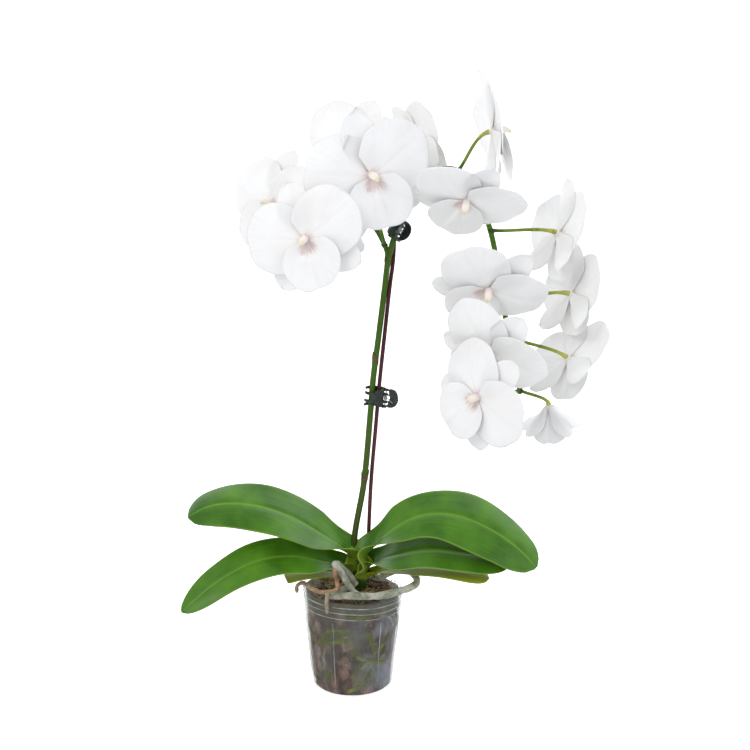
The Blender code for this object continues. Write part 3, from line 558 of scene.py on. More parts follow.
def pot_edge_material():
    """The same plastic where it is thickest: less clear, and paler as a painted highlight on the crests."""
    made, tree, on = material("thick_polypropylene_edge", IOR=1.49, Roughness=0.25)
    worn = pattern(tree, NOISE, 60.0, on["Object"])
    # Painted highlight: the pale grey-green of the crests stands in for the light that they catch. The
    # thicker plastic there is also less clear.
    return finish(made, add(tree, RAMP, {0: worn}, ((0.35, "#8d988f"), (0.65, "#c3cdc6"))),
                  Alpha=add(tree, RAMP, {0: worn}, ((0.35, 0.45), (0.65, 0.9))))


def filling_material():
    """Damp bark and moss seen against the wall: mauve-brown chips, darkened between them as painted shade,
    olive moss patches, a grey-olive band near the top, and a painted blue-grey highlight towards the right.
    """
    made, tree, on = material("damp_bark_and_moss", Roughness=0.85)
    on = on["Object"]
    warp = pattern(tree, NOISE, 70.0, on, Detail=3.0)
    bent = add(tree, MIX, {0: 0.012, 6: on, 7: warp.outputs["Color"]}, data_type="RGBA", blend_type="ADD")
    chips = pattern(tree, VORONOI, 68.0, bent, (1, 1, 0.7))
    pick = add(tree, "ShaderNodeSeparateXYZ", {0: chips.outputs["Color"]})
    chip = add(tree, RAMP, {0: pick}, ((0.0, "#54413a"), (0.3, "#7d665f"), (0.55, "#8f7b77"),
                                       (0.8, "#84695c"), (1.0, "#9c8b88")))
    grain = pattern(tree, NOISE, 330.0, on, (1, 1, 0.5), Detail=5.0, Roughness=0.75)
    dark = add(tree, RAMP, {0: grain}, ((0.38, 0.7), (0.56, 0.0)))
    grained = add(tree, MIX, {0: dark, 6: chip, 7: "#2a1f1c"}, data_type="RGBA")
    # Painted shade: the places far from each chip's middle, between the chips, are darkened.
    far = add(tree, RAMP, {0: chips}, ((0.30, 0.0), (0.60, 0.75)))
    painted_gap_shade = add(tree, MIX, {0: far, 6: grained, 7: "#221a15"}, data_type="RGBA")
    patches = pattern(tree, NOISE, 26.0, on, Detail=3.0, Roughness=0.6)
    moss = add(tree, RAMP, {0: patches}, ((0.54, 0.0), (0.60, 0.6)))
    mossy = add(tree, MIX, {0: moss, 6: painted_gap_shade, 7: "#4f5a26"}, data_type="RGBA")
    across = add(tree, "ShaderNodeSeparateXYZ", {0: on})
    # Painted highlight: blue-grey laid over the bark more and more towards the pot's right side (+X), broken
    # up by the patches.
    rightward_share = add(tree, MATH, {0: across, 1: 9.0, 2: patches}, operation="MULTIPLY_ADD")
    painted_right_highlight = add(tree, RAMP, {0: rightward_share}, ((0.70, 0.0), (1.0, 0.7)))
    right_highlighted = add(tree, MIX, {0: painted_right_highlight, 6: mossy, 7: "#8a90a0"}, data_type="RGBA")
    high = add(tree, MATH, {0: across.outputs["Z"], 1: 8.0}, operation="MULTIPLY")
    band = add(tree, RAMP, {0: high}, ((0.74, 0.0), (0.82, 0.55)))
    dusty = add(tree, MIX, {0: band, 6: right_highlighted, 7: "#6a6b5b"}, data_type="RGBA")
    return finish(made, dusty, None, grain, 1.0, 0.5)


def bark_material():
    """Graded pine bark: dull brown flakes with a layered grain and paler broken faces."""
    made, tree, on = material("pine_bark")
    grain = pattern(tree, NOISE, 110.0, on["Object"], (1, 1, 2.5), Detail=5.0, Roughness=0.7)
    cells = pattern(tree, VORONOI, 38.5, on["Object"], (1, 1, 0.7))
    shade = add(tree, MATH, {0: cells.outputs["Color"], 1: 0.45, 2: grain}, operation="MULTIPLY_ADD")
    brown = add(tree, RAMP, {0: shade}, ((0.35, "#1d130c"), (0.60, "#4b3122"), (0.95, "#86664c")))
    return finish(made, brown, add(tree, RAMP, {0: grain}, ((0.3, 0.95), (0.7, 0.75))), grain, 2.0, 0.8)


def moss_material():
    """Sphagnum moss strands: damp straw and dull green."""
    made, tree, on = material("sphagnum_moss", Roughness=0.85)
    patches = pattern(tree, NOISE, 120.0, on["Object"], Detail=3.0)
    straw = add(tree, RAMP, {0: patches}, ((0.35, "#4a4423"), (0.5, "#8a7d4c"), (0.68, "#b9a97e")))
    return finish(made, straw, None, patches, 0.5, 0.5)


def stake_material():
    """Steel rod in a smooth maroon plastic sleeve, faintly streaked by drawing."""
    made, tree, on = material("maroon_plastic_sleeve", Specular_IOR_Level=0.2)
    streaks = pattern(tree, NOISE, 400.0, on["Object"], (1, 1, 0.02))
    maroon = add(tree, RAMP, {0: streaks}, ((0.35, "#3a1316"), (0.6, "#501d20"), (0.8, "#633031")))
    return finish(made, maroon, add(tree, RAMP, {0: streaks}, ((0.3, 0.32), (0.7, 0.48))), streaks, 0.1, 0.4)


def clip_material():
    """Moulded nylon, black-green and slightly glossy, with a fine spark-eroded grain."""
    made, tree, on = material("black_green_nylon", Specular_IOR_Level=0.3)
    grain = pattern(tree, NOISE, 900.0, on["Object"])
    worn = pattern(tree, NOISE, 160.0, on["Object"])
    return finish(made, add(tree, RAMP, {0: worn}, ((0.35, "#141b17"), (0.65, "#2b352c"))),
                  add(tree, RAMP, {0: grain}, ((0.3, 0.24), (0.7, 0.40))), grain, 0.2, 0.4)


def spring_material():
    """Bright drawn spring steel wire."""
    made, tree, on = material("spring_steel_wire", Metallic=1.0)
    draw = pattern(tree, NOISE, 1500.0, on["Object"])
    return finish(made, add(tree, RAMP, {0: draw}, ((0.3, "#8d9094"), (0.7, "#c6c8ca"))),
                  add(tree, RAMP, {0: draw}, ((0.3, 0.22), (0.7, 0.38))))


def paper_material():
    """Matt white paper with the faintest mottling."""
    made, tree, on = material("backdrop_paper", Roughness=0.9, Specular_IOR_Level=0.1, Emission_Strength=0.9)
    mottle = pattern(tree, NOISE, 6.0, on["Object"])
    shade = add(tree, RAMP, {0: mottle}, ((0.3, "#f7f7f7"), (0.7, "#fbfbfb")))
    return finish(made, shade, Emission_Color=shade)


PETAL = petal_material()
COLUMN = column_material()
LEAF_TOP = leaf_material("leaf_upper_skin", "#2c5a09", "#558a1a", "#76a02e", "#8aa83c", 0.34)
LEAF_UNDER = leaf_material("leaf_lower_skin", "#476a12", "#76952c", "#92a642", "#93a23c", 0.46)
# Sheath skin: greens darker than the leaves', partly the sheaths' own colour and partly painted shade of the
# crown under the leaves.
SHEATH_WITH_PAINTED_SHADE = leaf_material("sheath_skin", "#1c3206", "#35550f", "#47661a", "#5e7426", 0.42)
STEM = stem_material()
ROOT = root_material()
POT = pot_material()
POT_EDGE_HIGHLIGHT = pot_edge_material()
BARK = bark_material()
FILLING = filling_material()
MOSS = moss_material()
STAKE = stake_material()
CLIP = clip_material()
SPRING = spring_material()
PAPER = paper_material()


# ------------------------------------------------------------------ pot

POT_HEIGHT = 125 * MM
POT_TOP_RADIUS = 59.4 * MM
POT_FOOT_RADIUS = 48 * MM
POT_FOOT_ROUND = 4 * MM
POT_WALL = 1.1 * MM
POT_SIDES = 144
POT_ROWS = 40
# the rolled rim from its inner edge outwards: radius, depth under the top, share of the dents
RIM_PROFILE = ((58.5, 0.5, 0.3), (58.9, 0.1, 0.3), (60.1, 0.0, 0.3), (60.7, 0.3, 0.3), (61.0, 0.9, 0.3),
               (60.8, 2.0, 0.3))
RING_HEIGHTS = (113.5 * MM, 106.5 * MM, 99.5 * MM)
RING_PROUD = 0.75 * MM
RING_HALF_HEIGHT = 1.0 * MM
RIB_COUNT = 6
RIB_FIRST = math.radians(-113)     # the rib left of the middle, seen from the front
RIB_HALF_ANGLE = math.radians(1.3)
RIB_PROUD = 0.55 * MM
DRAIN_COUNT = 6
DRAIN_RADIUS = 4 * MM
DRAIN_CIRCLE = 32 * MM


def wall_radius(height):
    """Outer radius of the pot's tapered wall."""
    share = (height - POT_FOOT_ROUND) / (POT_HEIGHT - POT_FOOT_ROUND)
    return POT_FOOT_RADIUS + (POT_TOP_RADIUS - POT_FOOT_RADIUS) * share


def dented(height):
    """Share of the dents at a height: none at the stiff foot."""
    return float(smoothstep(0, 14 * MM, height))


def dent(angle, height):
    """Slight waviness of a thin wall that has been handled."""
    return (0.55 * math.sin(2 * angle + 1.1) * math.sin(height * 21)
            + 0.30 * math.sin(5 * angle - 60 * height + 0.6)
            + 0.18 * math.sin(9 * angle + 95 * height + 2.0)) * MM


def leaning(angle, radius, height, out=0.0):
    """A point out from the soft wall, which stands higher on its left than on its right, more so near the
    rim."""
    rise = -0.05 * radius * math.cos(angle) * float(smoothstep(15 * MM, 110 * MM, height))
    r = radius + out
    return Vector((r * math.cos(angle), r * math.sin(angle), height + rise))


def rib(angle, height):
    """Height of the thin upright ribs, which run from under the last ring nearly to the foot."""
    near = min(abs((angle - RIB_FIRST - TURN * k / RIB_COUNT + math.pi) % TURN - math.pi)
               for k in range(RIB_COUNT))
    ends = float(smoothstep(12 * MM, 18 * MM, height) * (1 - smoothstep(92 * MM, 97 * MM, height)))
    return RIB_PROUD * math.exp(-(near / RIB_HALF_ANGLE) ** 2) * ends


def pot_profile():
    """Outer profile of the pot from the rim to the foot, as (radius, height, share of the dents)."""
    profile = [(radius * MM, POT_HEIGHT - depth * MM, soft) for radius, depth, soft in RIM_PROFILE]
    profile.append((wall_radius(POT_HEIGHT - 3 * MM) + 0.1 * MM, POT_HEIGHT - 2.9 * MM, 0.5))
    upper = POT_HEIGHT - 4.2 * MM
    heights = [upper + (POT_FOOT_ROUND - upper) * i / POT_ROWS for i in range(POT_ROWS + 1)]
    heights += [crest + step * RING_HALF_HEIGHT for crest in RING_HEIGHTS
                for step in (-1.3, -0.6, 0.0, 0.6, 1.3)]
    for height in sorted(heights, reverse=True):
        proud = sum(RING_PROUD * math.exp(-((height - crest) / RING_HALF_HEIGHT) ** 2)
                    for crest in RING_HEIGHTS)
        profile.append((wall_radius(height) + proud, height, dented(height)))
    for k in range(1, 5):
        angle = math.pi / 2 * k / 4
        profile.append((POT_FOOT_RADIUS - POT_FOOT_ROUND * (1 - math.cos(angle)),
                        POT_FOOT_ROUND * (1 - math.sin(angle)), 0.0))
    return profile


def bored(mesh, holes, radius, low, high):
    """The mesh with round holes of a radius bored through it at the given places, from low to high."""
    bm = bmesh.new()
    for x, y, z in holes:
        bmesh.ops.create_cone(bm, cap_ends=True, segments=24, radius1=radius, radius2=radius,
                              depth=high - low, matrix=Matrix.Translation((x, y, z + (low + high) / 2)))
    obj = placed("bored", mesh)
    drill = placed("drill", settled(bm, bpy.data.meshes.new("drills")))
    bore = obj.modifiers.new("bore", "BOOLEAN")
    bore.operation = "DIFFERENCE"
    bore.object = drill
    return evaluated(obj, drill)


def pot_edges():
    """The crests of the rings and ribs, where the plastic is thick and catches the light: pale rods whose
    paleness is a painted highlight.
    """
    def on_wall(angle, height, proud):
        return leaning(angle, wall_radius(height) + dent(angle, height) * dented(height) + proud, height)

    lines = []
    for height in RING_HEIGHTS:
        steps = range(POT_SIDES + 1)
        lines.append(([on_wall(TURN * k / POT_SIDES, height, RING_PROUD - 0.25 * MM) for k in steps],
                      [(0.42 + 0.12 * math.sin(0.3 * k)) * MM for k in steps], 0.0))
    for k in range(RIB_COUNT):
        angle = RIB_FIRST + TURN * k / RIB_COUNT
        heights = [(17 + 76 * i / 20) * MM for i in range(21)]
        lines.append(([on_wall(angle, height, 0.35 * MM) for height in heights], 0.30 * MM, 0.0))
    return rods("pot_edges", lines, POT_EDGE_HIGHLIGHT, sides=8)


def build_pot():
    """A thin shell with three rings, ribs and a drained floor."""
    outer = pot_profile()
    angles = spokes(POT_SIDES)
    rings = [[leaning(a, radius, height, dent(a, height) * soft + rib(a, height)) for a in angles]
             for radius, height, soft in outer]
    floor = [(POT_FOOT_RADIUS - POT_FOOT_ROUND) * share for share in (0.9, 0.6, 0.3, 0.0)]
    rings += [ring(angles, radius, 0.0) for radius in floor]
    centre = len(rings) - 1
    rings += [ring(angles, radius, POT_WALL) for radius in reversed(floor)]
    for radius, height, soft in reversed(outer):
        if POT_WALL + 2 * MM < height < POT_HEIGHT - 1 * MM:
            inner = min(wall_radius(height), POT_TOP_RADIUS) - POT_WALL
            rings.append([leaning(a, inner, height, dent(a, height) * soft) for a in angles])
    shell = Shape()
    shell.wall(rings, centre)
    holes = ring([a + math.pi / DRAIN_COUNT for a in spokes(DRAIN_COUNT)], DRAIN_CIRCLE, 0.0)
    mesh = bored(outward(shell.mesh("pot_shell", [POT])), holes, DRAIN_RADIUS, -1 * MM, 3 * MM)
    piece("pot_shell", gather("pot_shell", [mesh, pot_edges()]), "pot")


# ------------------------------------------------------------------ growing medium

MEDIUM_TOP = 116 * MM
FILL_GAP = 1.2 * MM
FILL_SIDES = 96
FILL_ROWS = 40
FLAKES = ((17, 10, 5), (12, 9, 6), (21, 8, 4))
FLAKE_DENSITY = 5200.0
FLAKE_DISC = 46 * MM
CROWN_HOLE = 12 * MM
MOSS_STRANDS = 150


def slab(name, length, width, thick, seed):
    """One flake of bark: a box with broken corners, its sides pushed in and out."""
    rng = random.Random(seed)
    bm = bmesh.new()
    bmesh.ops.create_cube(bm, size=1.0)
    bmesh.ops.subdivide_edges(bm, edges=bm.edges, cuts=1, use_grid_fill=True)
    for vert in bm.verts:
        far = vert.co.length
        vert.co *= 1 + rng.uniform(-0.14, 0.14) - 0.18 * (far > 0.8)
        vert.co.z += rng.uniform(-0.12, 0.12)
        vert.co = at(vert.co.x * length, vert.co.y * width, vert.co.z * thick)
    mesh = settled(bm, bpy.data.meshes.new(name))
    mesh.materials.append(BARK)
    return placed(name, mesh)


def disc(name, radius, height, hole):
    """A flat ring to strew things on, with a hole for the crown."""
    bm = bmesh.new()
    inner, outer = ([bm.verts.new(p) for p in ring(spokes(32), r, height)] for r in (hole, radius))
    for k, corner in enumerate(inner):
        after = (k + 1) % len(inner)
        bm.faces.new((corner, outer[k], outer[after], inner[after]))
    return settled(bm, bpy.data.meshes.new(name))


def moss_strands(rng):
    """Loose strands of moss that hump over the top of the bark, kept inside the rim."""
    lines = []
    for _ in range(MOSS_STRANDS):
        angle, radius = rng.uniform(0, 6.28), rng.uniform(14, 54)
        heading, length = rng.uniform(0, 6.28), rng.uniform(8, 20)
        points = []
        for k in range(6):
            t = k / 5
            heading += rng.uniform(-0.5, 0.5)
            x = radius * math.cos(angle) + length * (t - 0.5) * math.cos(heading)
            y = radius * math.sin(angle) + length * (t - 0.5) * math.sin(heading)
            inside = min(1.0, 55 / max(math.hypot(x, y), 1))
            hump = 2.5 * math.sin(math.pi * t)
            points.append(at(x * inside, y * inside, 117.5 + rng.uniform(-1, 1.5) + hump))
        lines.append((points, [rng.uniform(0.3, 0.6) * MM] * 6, 0.0))
    return rods("moss", lines, MOSS, sides=5)


def build_medium():
    """Bark, moss and roots packed against the wall, with loose flakes of bark and moss on top."""
    angles = spokes(FILL_SIDES)
    rng = random.Random(11)
    waves = [(rng.randint(3, 14), rng.uniform(60, 260), rng.uniform(0, 6.28), rng.uniform(0.15, 0.4))
             for _ in range(7)]

    def packed(angle, height):
        hollow = sum(size * (1 + math.sin(crests * angle + rise * height + start))
                     for crests, rise, start, size in waves) * 0.22 * MM
        r = wall_radius(height) + dent(angle, height) - POT_WALL - FILL_GAP - hollow
        return leaning(angle, r, height)

    low, high = POT_FOOT_ROUND + 0.5 * MM, MEDIUM_TOP + 2 * MM
    rings = [ring(angles, radius, MEDIUM_TOP - 3 * MM) for radius in (0.0, 40 * MM)]
    rings += [[packed(a, high + (low - high) * i / FILL_ROWS) for a in angles]
              for i in range(FILL_ROWS + 1)]
    rings += [ring(angles, radius * MM, POT_WALL + lift * MM)
              for radius, lift in ((45, 1.2), (42, 0.5), (0, 0.6))]
    body = Shape()
    body.wall(rings, len(rings) - 1)
    meshes = [outward(body.mesh("filling", [FILLING]))]
    top = disc("top", FLAKE_DISC, MEDIUM_TOP - 1 * MM, CROWN_HOLE)
    for i, size in enumerate(FLAKES):
        flake = slab("flake_%d" % i, *size, i)
        meshes.append(grow(top, STREWN, item=flake, density=FLAKE_DENSITY, seed=20 + i, smallest=0.6,
                           largest=1.05, tilt=0.5, material=BARK))
        bpy.data.objects.remove(flake, do_unlink=True)
    meshes.append(moss_strands(rng))
    piece("bark_and_moss", gather("bark_and_moss", meshes), "growing_medium")


# ------------------------------------------------------------------ roots

# points, start radius, end radius, tone at either end (0 damp green, 0.5 silver, 1 tan)
ROOTS = (
    (((4, -13.5, 128), (-5, -21, 144), (-16, -28, 157), (-20, -33, 159), (-14, -37, 154), (-9, -40, 146),
      (-3, -42, 136), (4, -44, 128), (14, -46, 124.5), (25, -45, 124)), 3.8, 3.4, 0.45, 0.5),
    (((-18, -31, 158), (-19, -34, 150), (-17, -37, 140), (-17, -38, 131), (-24, -40, 128), (-37, -38, 127),
      (-48, -28, 128), (-54.5, -20, 130), (-60, -15.5, 130), (-66, -11, 124), (-66, -9, 115)),
     3.0, 2.3, 0.9, 0.7),
    (((-30, -40, 127), (-29, -47, 128), (-27.5, -53, 129.5), (-28, -58.5, 129.5), (-28.5, -60, 123),
      (-28, -58.5, 109)), 2.4, 1.9, 0.8, 0.6),
    (((2, -12.5, 126), (-10, -22, 124), (-22, -33, 123), (-24, -44, 125), (-14, -51, 127), (0, -56, 129),
      (14, -59.5, 130), (27, -60.5, 130.5), (40, -57, 131), (54, -50, 132), (68, -42, 134), (76, -30, 136),
      (74, -14, 139), (66, 0, 141), (52, 8, 138), (38, 8, 131), (27, 2, 127)), 4.2, 4.3, 0.4, 0.45),
    (((38, 8, 131), (33, 18, 125), (28, 28, 124), (22, 36, 124)), 3.4, 2.8, 0.5, 0.3),
)
# roots against the front of the wall: radius, tone, then (sideways, height) along them
FRONT_ROOTS = (
    (3.7, 0.10, ((-53, 62), (-46, 63), (-38, 64), (-28, 66), (-18, 70), (-8, 73), (0, 74))),
    (2.8, 0.05, ((-34, 78), (-28, 82), (-20, 84), (-12, 83), (-4, 86))),
    (3.6, 0.12, ((12, 83), (18, 82), (23, 77), (27, 69), (30, 61), (32, 53), (30, 46))),
    (3.3, 0.22, ((14, 36), (18, 38), (23, 41), (29, 42), (33, 44))),
    (3.6, 0.10, ((-10, 9), (-4, 8), (4, 11), (14, 15), (21, 21), (25, 29), (28, 36))),
    (2.5, 0.08, ((31, 50), (37, 57), (43, 64), (49, 72), (53, 78))),
    (2.7, 0.20, ((36, 34), (41, 42), (46, 52), (50, 58))),
    (2.8, 0.05, ((-8, 103), (0, 102), (9, 101), (18, 102), (26, 104))),
    (1.6, 0.30, ((-42, 30), (-39, 38), (-40, 47), (-37, 55))),
)
WALL_ROOTS = 16
WALL_ROOT_STEP = 5.5 * MM
WALL_ROOT_TONES = (0.05, 0.1, 0.25, 0.4)
BULGE = 59.0                   # wall radius that turns a front root's sideways places into angles


def root_line(points, start, end, first_tone, last_tone, rng):
    """A root's path with its thickness swelling and shrinking along it, and narrowing at its end."""
    path = through([at(*p) for p in points], 8 * len(points))
    last = len(path) - 1
    phase = rng.uniform(0, 6)
    radii = []
    for i in range(last + 1):
        swell = 1 + 0.07 * math.sin(0.33 * i + phase) + 0.04 * math.sin(0.9 * i + 2 * phase)
        tip = 1 if i < last - 2 else 0.8 - 0.25 * (i - last + 2)
        radii.append((start + (end - start) * i / last) * swell * MM * tip)
    return path, radii, [first_tone + (last_tone - first_tone) * i / last for i in range(last + 1)]


def build_roots():
    rng = random.Random(5)
    lines = [root_line(*root, rng) for root in ROOTS]
    mesh = rods("silver_roots", lines, ROOT, sides=16, lump_height=0.9 * MM, lump_size=4 * MM)
    piece("silver_roots", mesh, "aerial_roots")


def build_wall_roots():
    """Roots pressed against the inside of the pot's wall: the big ones in front, then others all round."""
    rng = random.Random(8)
    lines = []

    def against_wall(angle, height, thick, at_end):
        inward = thick * (1.6 if at_end else 1.03) * MM
        return leaning(angle, wall_radius(height) + dent(angle, height) - POT_WALL - inward, height)

    for thick, tone, places in FRONT_ROOTS:
        ends = (0, len(places) - 1)
        path = through([against_wall(-math.pi / 2 + math.asin(x / BULGE), height * MM, thick, k in ends)
                        for k, (x, height) in enumerate(places)], 8 * len(places))
        lines.append((path, [thick * MM * (1 + 0.12 * math.sin(0.5 * i)) for i in range(len(path))], tone))
    for i in range(WALL_ROOTS):
        angle = -0.25 * math.pi + 1.5 * math.pi * i / WALL_ROOTS + rng.uniform(-0.1, 0.1)
        height = rng.uniform(16, 104) * MM
        heading = rng.uniform(-0.9, 0.9) + (math.pi if rng.random() < 0.5 else 0)
        points, count = [], rng.randint(7, 13)
        thick = rng.uniform(1.7, 3.0)
        for k in range(count):
            points.append(against_wall(angle, height, thick, k in (0, count - 1)))
            heading += rng.uniform(-0.45, 0.45)
            angle += WALL_ROOT_STEP / wall_radius(height) * math.cos(heading)
            height = min(max(height + WALL_ROOT_STEP * math.sin(heading), 12 * MM), 110 * MM)
        lines.append((through(points, 5 * count), thick * MM, rng.choice(WALL_ROOT_TONES)))
    mesh = rods("wall_roots", lines, ROOT, lump_height=0.6 * MM, lump_size=4 * MM)
    piece("wall_roots", mesh, None)


# ------------------------------------------------------------------ crown and leaves

CROWN_X = 8 * MM
CROWN_BOTTOM = 108 * MM
CROWN_TOP = 171 * MM
CROWN_WIDTH = 24 * MM
CROWN_DEPTH = 19 * MM
CROWN_PROFILE = ((0.00, 0.30), (0.12, 0.62), (0.35, 0.92), (0.60, 1.00), (0.82, 0.78), (1.00, 0.34))
SHEATH_GRID = (18, 28)
# foot height share, top height share, which way its open side faces in degrees, how far it stands out
SHEATHS = ((0.02, 0.52, 10, 1.05), (0.06, 0.62, 190, 1.02), (0.12, 0.74, -20, 0.98), (0.20, 0.82, 170, 0.93),
           (0.30, 0.90, 60, 0.86))


def crown_radii(share, stand):
    """Half width and half depth of the crown at a share of its height, times how far it stands out."""
    width = np.interp(share, *zip(*CROWN_PROFILE)) * stand
    return CROWN_WIDTH / 2 * width, CROWN_DEPTH / 2 * width


def build_crown():
    """The short stem, wrapped in folded leaf bases that overlap like a fan."""
    rise = CROWN_TOP - CROWN_BOTTOM
    shape = Shape()
    for foot, top, opening, stand in SHEATHS:
        middle = math.radians(opening + 180)

        def place(u, v, foot=foot, top=top, middle=middle, stand=stand):
            share = foot + (top - foot) * u
            wrap = middle + math.radians(165) * (1 - 0.55 * u ** 2) * v
            across, deep = crown_radii(share, stand)
            return np.stack((CROWN_X + across * np.cos(wrap), deep * np.sin(wrap),
                             CROWN_BOTTOM + rise * share * (1 - 0.12 * v ** 2 * u)), axis=-1)

        shape.blade(place, SHEATH_GRID, lambda u, v: 0.6 * MM * (1 - 0.4 * v ** 2),
                    lambda u, v: 0.15 + 0.5 * (1 - u) ** 2)
    core = []
    for i in range(12):
        share = i / 11 * 0.93
        across, deep = crown_radii(share, 0.84)
        core.append(ring(spokes(24), across, CROWN_BOTTOM + rise * share, deep, CROWN_X))
    shape.lathe(core, [0.5] * len(core))
    piece("leaf_sheaths", outward(shape.mesh("leaf_sheaths", [SHEATH_WITH_PAINTED_SHADE])), "crown")


# name, midrib from the crown to the tip, half width, roll towards the viewer in degrees, droop of the
# edges, yellowness, share of the length where it reaches its full width, where its tip starts to narrow
LEAVES = (
    ("leaf_upper_left", ((-3.5, -2, 161), (-36, -4, 185), (-70, -8, 206.5), (-105, -12, 221),
                         (-140, -17, 227), (-168, -20, 224), (-191, -24, 213)),
     38, 30, 0.10, 0.0, 0.40, 0.62),
    ("leaf_lower_left", ((-6.5, -5, 144), (-36, -15, 156), (-66, -25, 165), (-95, -36, 167), (-124, -48, 161),
                         (-156, -61, 145), (-191.5, -78, 118)),
     27, 34, 0.05, 0.15, 0.30, 0.36),
    ("leaf_upper_right", ((18.5, -5, 164), (47, -8, 192), (75, -9, 208), (104, -12, 213), (134, -18, 209),
                          (172, -26, 192), (198, -32, 173), (214, -37, 156)),
     41, 32, 0.12, 0.0, 0.60, 0.62),
    ("leaf_lower_right", ((21.5, -4, 148), (52, -15, 163), (90, -22, 172), (126, -26, 170), (158, -29, 165),
                          (184, -31, 158)),
     32, 24, 0.05, 0.1, 0.34, 0.60),
    ("leaf_under_right", ((19.5, -5, 134), (52, -14, 147), (88, -22, 150), (124, -30, 149), (160, -37, 143)),
     18, 14, 0.05, 1.0, 0.40, 0.80),
    ("leaf_small_left", ((-5.5, -5, 134), (-24, -13, 142), (-48, -21, 145), (-79, -28, 143)),
     15, 12, 0.05, 0.95, 0.35, 0.97),
)
# where each leaf's folded base starts, low inside the crown
LEAF_FEET = ((5, 0, 144), (1, -2, 130), (13, -8, 140), (14, -4, 130), (13, -4, 124), (1, -4, 124))
LEAF_STEPS = 60
LEAF_COLUMNS = 28


def leaf_width(u, full, narrowing):
    """Half width along the leaf, as a share of the widest: a narrow sheath, a long blade, a blunt tip."""
    sheath = 0.32 + 0.68 * np.sin(math.pi / 2 * np.clip((u - 0.06) / full, 0.0, 1.0)) ** 1.1
    return np.maximum(sheath * blunt(u, narrowing, 2.4), 0.06)


def build_leaf(number, name, midrib, half_width, roll, droop, yellow, full, narrowing):
    """A long arching blade: channelled at its foot, folded at its midrib and gently rippled."""
    path = through([at(*LEAF_FEET[number])] + [at(*p) for p in midrib], LEAF_STEPS + 1)
    rng = random.Random(100 + number)
    waves = [(rng.uniform(1.5, 3.5), rng.uniform(0, 6.28), rng.uniform(0.5, 1.2)) for _ in range(2)]
    calm = (half_width / 40) ** 2
    sideways, upward = [], []
    for i in range(LEAF_STEPS + 1):
        along = (path[min(i + 1, LEAF_STEPS)] - path[max(i - 1, 0)]).normalized()
        across = along.cross(Vector((0, 0, 1))).normalized()
        if across.y > 0:
            across = -across
        turn = math.radians(roll) * min(i / LEAF_STEPS / 0.3, 1.0)
        across = Matrix.Rotation(-turn if along.x < 0 else turn, 3, along) @ across
        face = along.cross(across).normalized()
        sideways.append(across)
        upward.append(-face if face.z < 0 else face)
    centres, sideways, upward = np.array(path), np.array(sideways), np.array(upward)

    def place(u, v):
        row = np.rint(u * LEAF_STEPS).astype(int)
        reach = (half_width * MM * leaf_width(u, full, narrowing))[..., None]
        channel = (0.10 * (1 - u) - droop * u + 0.75 * np.exp(-(u / 0.13) ** 2))[..., None]
        side = v[..., None]
        crease = 1 - np.exp(-(side / 0.10) ** 2)
        fold = 0.9 * MM * crease * np.sin(math.pi * np.clip(u, 0.02, 0.98))[..., None]
        ripple = sum(size * np.sin(crests * TURN * u + start + 1.5 * np.sign(v))
                     for crests, start, size in waves)[..., None] * calm * MM * np.abs(side) ** 3
        return (centres[row] + sideways[row] * reach * side
                + upward[row] * (reach * channel * side ** 2 * 2 + fold + ripple))

    shape = Shape()
    shape.blade(place, (LEAF_STEPS, LEAF_COLUMNS),
                lambda u, v: MM * (0.35 + 0.75 * (1 - v ** 2) * (1 - 0.5 * u)),
                lambda u, v: yellow + (1 - yellow) * smoothstep(0.24, 0.0, u) * 0.72, under=1)
    piece(name + "_blade", shape.mesh(name + "_blade", [LEAF_TOP, LEAF_UNDER]), name)


# ------------------------------------------------------------------ flower spike and stake

STEM_RADIUS = 3.8
STEM_TIP_RADIUS = 3.0
BRANCH_RADIUS = 2.9
BRANCH_TIP_RADIUS = 2.3
PEDICEL_RADIUS = 1.95
PEDICEL_STEPS = 24
STAKE_RADIUS = 2.4
STEM_POINTS = ((6, 3, 142), (2.5, 6, 160), (3, 8, 184), (14, 6, 248), (22, 4, 336), (25, 4, 373),
               (32, 4, 428), (38, 4, 477), (42, 4, 509), (49, 3.5, 536), (55.5, 3, 553), (67.5, 3, 580),
               (84, 4, 601), (100, 4, 611), (114, 4, 613), (128, 4, 606), (146, 6, 580), (158, 8, 548),
               (166, 9, 516), (173, 10, 478), (180, 10, 436), (188, 10, 394), (198, 10, 354))
BRANCH_POINTS = ((42, 4, 509), (40, 6, 522), (33, 10, 537), (22, 13, 554), (9, 15, 574), (-8, 15, 590),
                 (-28, 12, 600), (-50, 8, 604), (-66, 4, 600))
STAKE_POINTS = ((13, 13, 24), (17, 13, 120), (19, 13, 173), (22.2, 10, 245), (28, 6, 316), (32, 4.5, 364),
                (38.6, 4, 428), (44.4, 5.5, 482), (48, 10, 509), (49.2, 10.3, 531))
NODES = ((252, 0.4), (392, 2.4), (507, 1.2))      # height of each stem node, turn of its scale about the stem
STEM_STEPS = 220
BRANCH_STEPS = 80
STAKE_STEPS = 60
BRACT_GRID = (10, 16)

